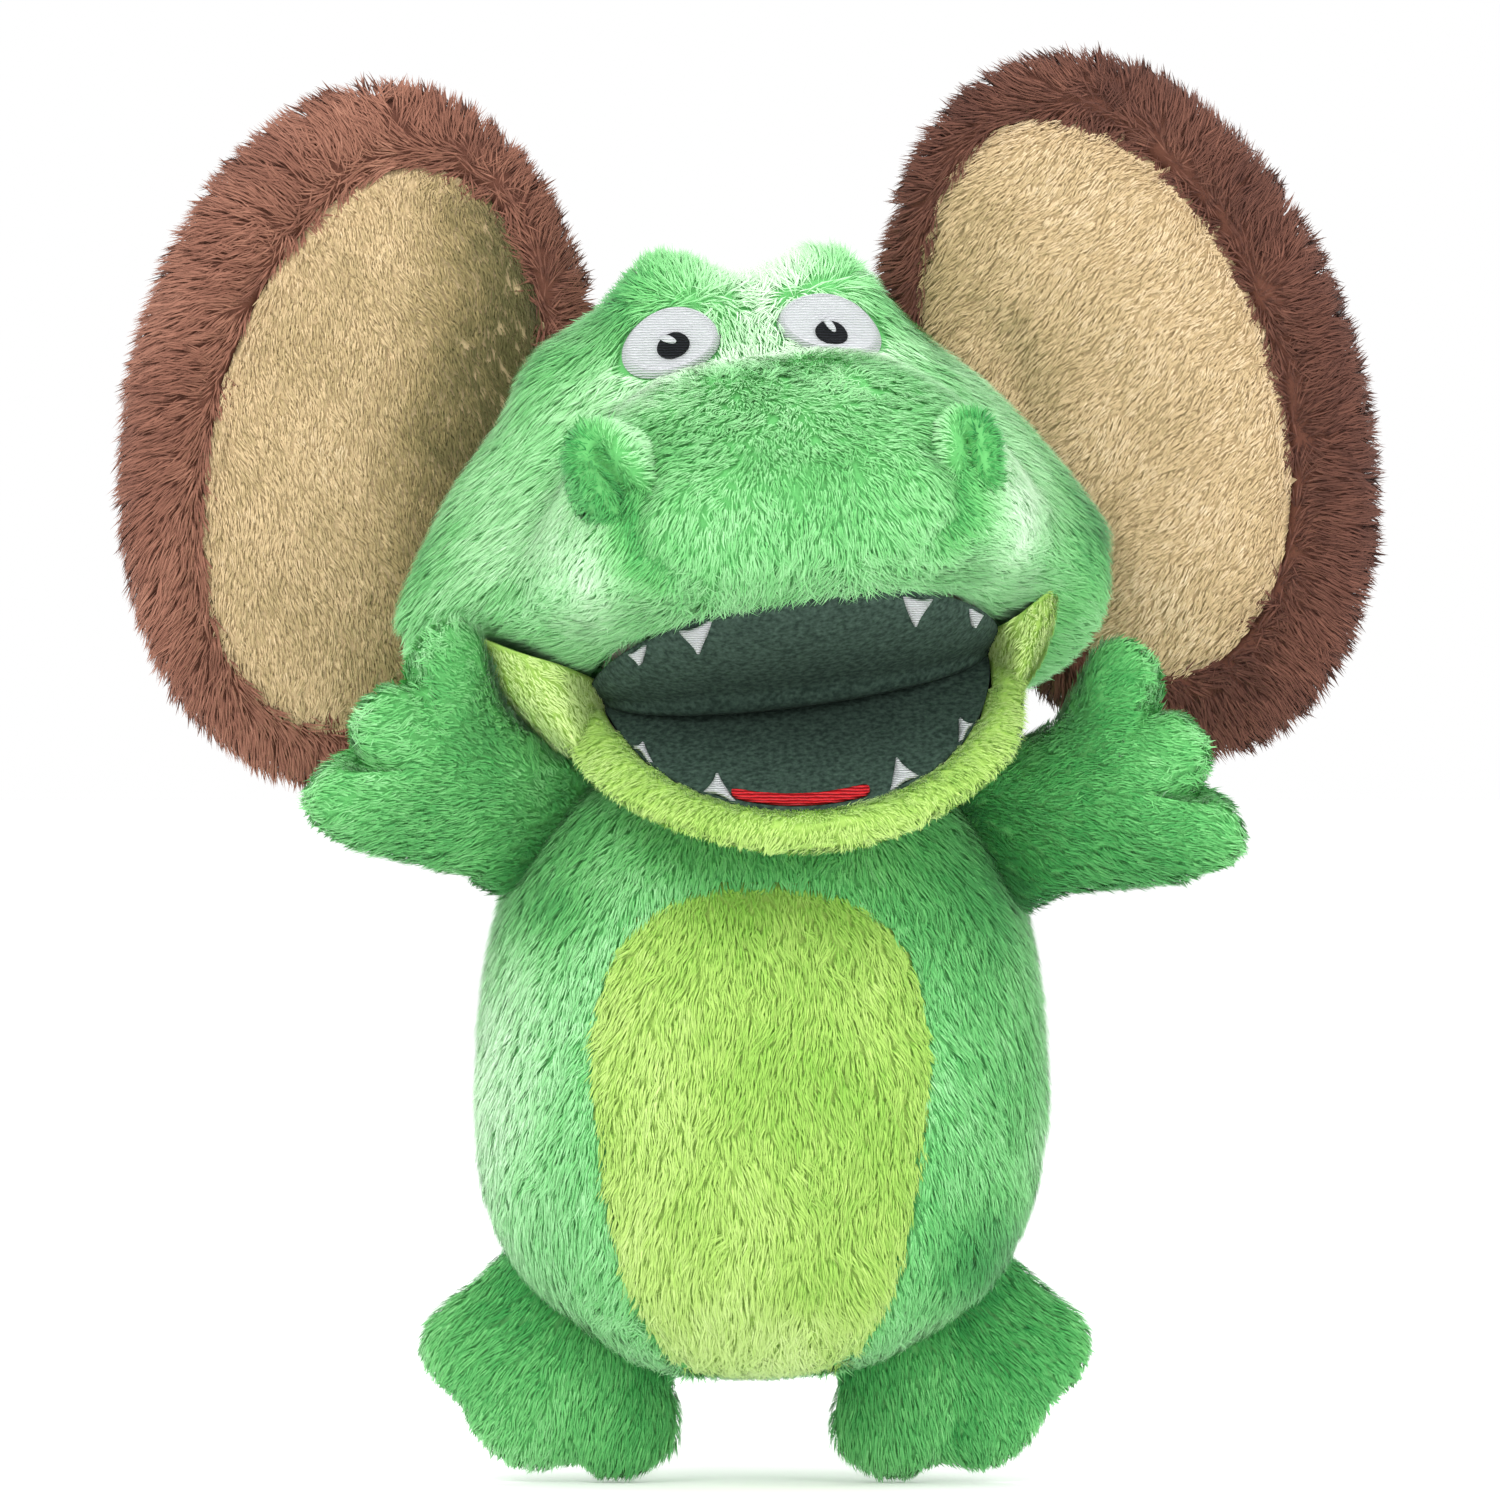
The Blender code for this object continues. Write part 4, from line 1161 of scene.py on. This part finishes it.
def make_nostrils():
    """Rounded lobes of plush at the snout's upper corners, each with a slit in its front."""
    for side, middle, half, lean, reach, pale in NOSTRILS:
        rings = []
        for turn in np.linspace(-pi / 2 + 0.06, pi / 2 - 0.06, 34):
            t = turns(44)
            rings.append(columns(*oval(half[0] * cos(turn), half[1] * cos(turn), t).T,
                                 half[2] * sin(turn)))
        lobe = rings_form(rings)
        way = np.array((sin(radians(-lean)), cos(radians(-lean))))

        def off_slit(q):
            along = np.clip(q[:, (0, 2)] @ way, -reach, reach)
            return q[:, (0, 2)] - along[:, None] * way
        p, n = lobe.points, lobe.normals()
        gap = np.where(p[:, 1] < 0, np.linalg.norm(off_slit(p), axis=1), 50)
        p += n * (1.6 * bell(gap - 4.5, 2.2) - 5.0 * bell(gap, 1.9))[:, None]
        matrix = head_frame @ Matrix.Translation(middle)
        lobe.points = put(matrix, p)

        def comb(points, n):
            away = off_slit(into(matrix, points))
            lie = columns(away[:, 0], 2.5, away[:, 1] - 1.0)
            return turned(matrix, unit(lie))

        def tone(points, n):
            q = into(matrix, points)
            away = off_slit(q)
            lip = np.clip(away[:, 0] * pale / 4, -1, 1)
            # darker about the slit on the front: painted shade in the slit
            inside = np.exp(-((away ** 2).sum(1)) / 6) * (q[:, 1] < 0)
            return 0.5 + 0.2 * lip - 0.5 * inside + 0.06 * wave(points, 6, 0.4)

        def open_slit(points):
            q = into(matrix, points)
            return (np.linalg.norm(off_slit(q), axis=1) > 1.7) | (q[:, 1] > 0)
        clad("nostril_" + side, "head", GREEN, lobe, comb, tone, ("nostril_" + side,), thickness=0,
             keep=open_slit, length=3.2, density=3.2, width=0.3, lift=0.4)


# ---- linings and inner pieces

def softened(node, name, body, material, ripple):
    """A finer copy of a CAD node, rippled like slack cloth, that stands for it."""
    mesh = frame["nodes"][node].data.copy()
    mesh.materials.clear()
    piece = link(mesh, name, material)
    split = piece.modifiers.new("split", "SUBSURF")
    split.subdivision_type, split.levels = "SIMPLE", 2
    apply_modifiers(piece)
    points = np.array([tuple(v.co) for v in piece.data.vertices])
    p = to_measure(points)
    shift = np.stack([wave(p * (1, 1, 0.6), 9, phase) for phase in (0.1, 1.9, 3.3)], 1)
    piece.data.vertices.foreach_set("co", (points + shift * ripple * MM).ravel())
    dress(piece, "lining", body, node)


def make_linings():
    tricot = cloth("lining_cloth", (150, 196, 82), (186, 220, 118), 60, 1500)
    softened("hand_sleeve", "sleeve_lining", "torso", tricot, 0.7)
    softened("finger_pocket", "finger_sleeve", "head", tricot, 0.25)
    softened("thumb_pocket", "thumb_sleeve", "lower_jaw", tricot, 0.25)
    card = cloth("board_card", (206, 196, 176), (230, 224, 210), 180, 700, 0.15)
    for node in ("upper_mouth_board", "lower_mouth_board"):
        frame["nodes"][node].data.materials.clear()
        frame["nodes"][node].data.materials.append(card)


def make_cuff():
    """The rolled plush hem of the hand opening."""
    t = turns(120)
    rows = []
    for turn in turns(28):
        out, back = 2.4 * cos(turn), 9.5 * sin(turn)
        rows.append(columns((CUFF[0] - 2.2 + out) * np.cos(t), 49 + back,
                            OPENING[2] + (CUFF[1] - 2.2 + out) * np.sin(t)))
    form = rings_form(rows + rows[:1], capped=False)
    if (form.normals()[:120] * (form.points[:120] - OPENING)).sum() < 0:
        form.faces = [f[::-1] for f in form.faces]

    def comb(p, n):
        out = (p - OPENING) * (1, 0, 1)
        return unit(out) * 0.8 + (0, 0.2, -0.3)
    clad("cuff_hem", "torso", GREEN, form, comb, torso_tone, ("opening_cuff",), thickness=0,
         keep=lambda p: p[:, 1] > 50, length=4.0)


def make_neck():
    """The collar of plush that the head turns on: a band of a ball about the neck."""
    middle = np.array(to_measure(JOINTS["head"]["pos_m"]))
    t = turns(120)
    rows = []
    for height in np.linspace(-21, 17, 24):
        reach = sqrt(40.4 ** 2 - height ** 2)
        rows.append(middle + columns(*oval(reach, reach, t).T, height))
    band = rings_form(rows, capped=False)
    band = band.facing(band.points - middle).picked(lambda m: (m[:, 1] > 3) | (m[:, 2] < 151))
    clad("neck", "head", GREEN, band, torso_comb, torso_tone, ("neck_panel",), length=4.5)


# ---- camera, light and floor

PICTURE_WIDTH, PICTURE_MIDDLE = 352.5, (-2.6, 0, 174)
FLOOR_GLOW, FLOOR_HALF, FLOOR_DROP = 0.07, 40.0, 0.004


def make_stage():
    floor_mesh = bpy.data.meshes.new("floor")
    paper = cloth("floor_paper", (254, 254, 254), (255, 255, 255), 8, 60, 0.05, 1.0)
    glow = paper.node_tree.nodes["Principled BSDF"]
    glow.inputs["Emission Color"].default_value = (1, 1, 1, 1)
    glow.inputs["Emission Strength"].default_value = FLOOR_GLOW
    level = float(cad_low.z) - FLOOR_DROP
    corners = [(x * FLOOR_HALF, y * FLOOR_HALF, level)
               for x, y in ((-1, -1), (1, -1), (1, 1), (-1, 1))]
    floor_mesh.from_pydata(corners, [], [(0, 1, 2, 3)])
    link(floor_mesh, "floor", paper)
    world = bpy.data.worlds.new("studio")
    bpy.context.scene.world = world
    world.use_nodes = True
    world.node_tree.nodes["Background"].inputs["Color"].default_value = (1, 1, 1, 1)
    bpy.context.scene.view_settings.view_transform = "Standard"
    for name, place, size, watts in (("key", (-0.9, -1.7, 1.5), 1.1, 26),
                                     ("fill", (1.3, -1.5, 0.9), 1.1, 14),
                                     ("back", (0.2, 1.4, 1.6), 1.2, 12)):
        lamp = bpy.data.lights.new(name, "AREA")
        lamp.energy, lamp.size = watts, size
        thing = add(name, lamp)
        thing.location = place
        thing.rotation_euler = (Vector(place) * -1).to_track_quat("-Z", "Y").to_euler()
    camera = bpy.data.cameras.new("camera")
    camera.lens, camera.sensor_width = 300, 36
    camera.clip_end = 100
    eye = add("camera", camera)
    distance = camera.lens / camera.sensor_width * PICTURE_WIDTH * MM
    target = to_frame(PICTURE_MIDDLE)
    eye.location = (target[0], target[1] - distance - 0.03, target[2])
    eye.rotation_euler = (radians(90), 0, 0)
    bpy.context.scene.camera = eye


make_torso()
head = make_head()
make_eyes(head)
make_felt()
make_teeth()
make_tongue()
make_jaw()
make_gussets()
make_limbs()
make_ears()
make_nostrils()
make_cuff()
make_neck()
make_linings()
make_stage()
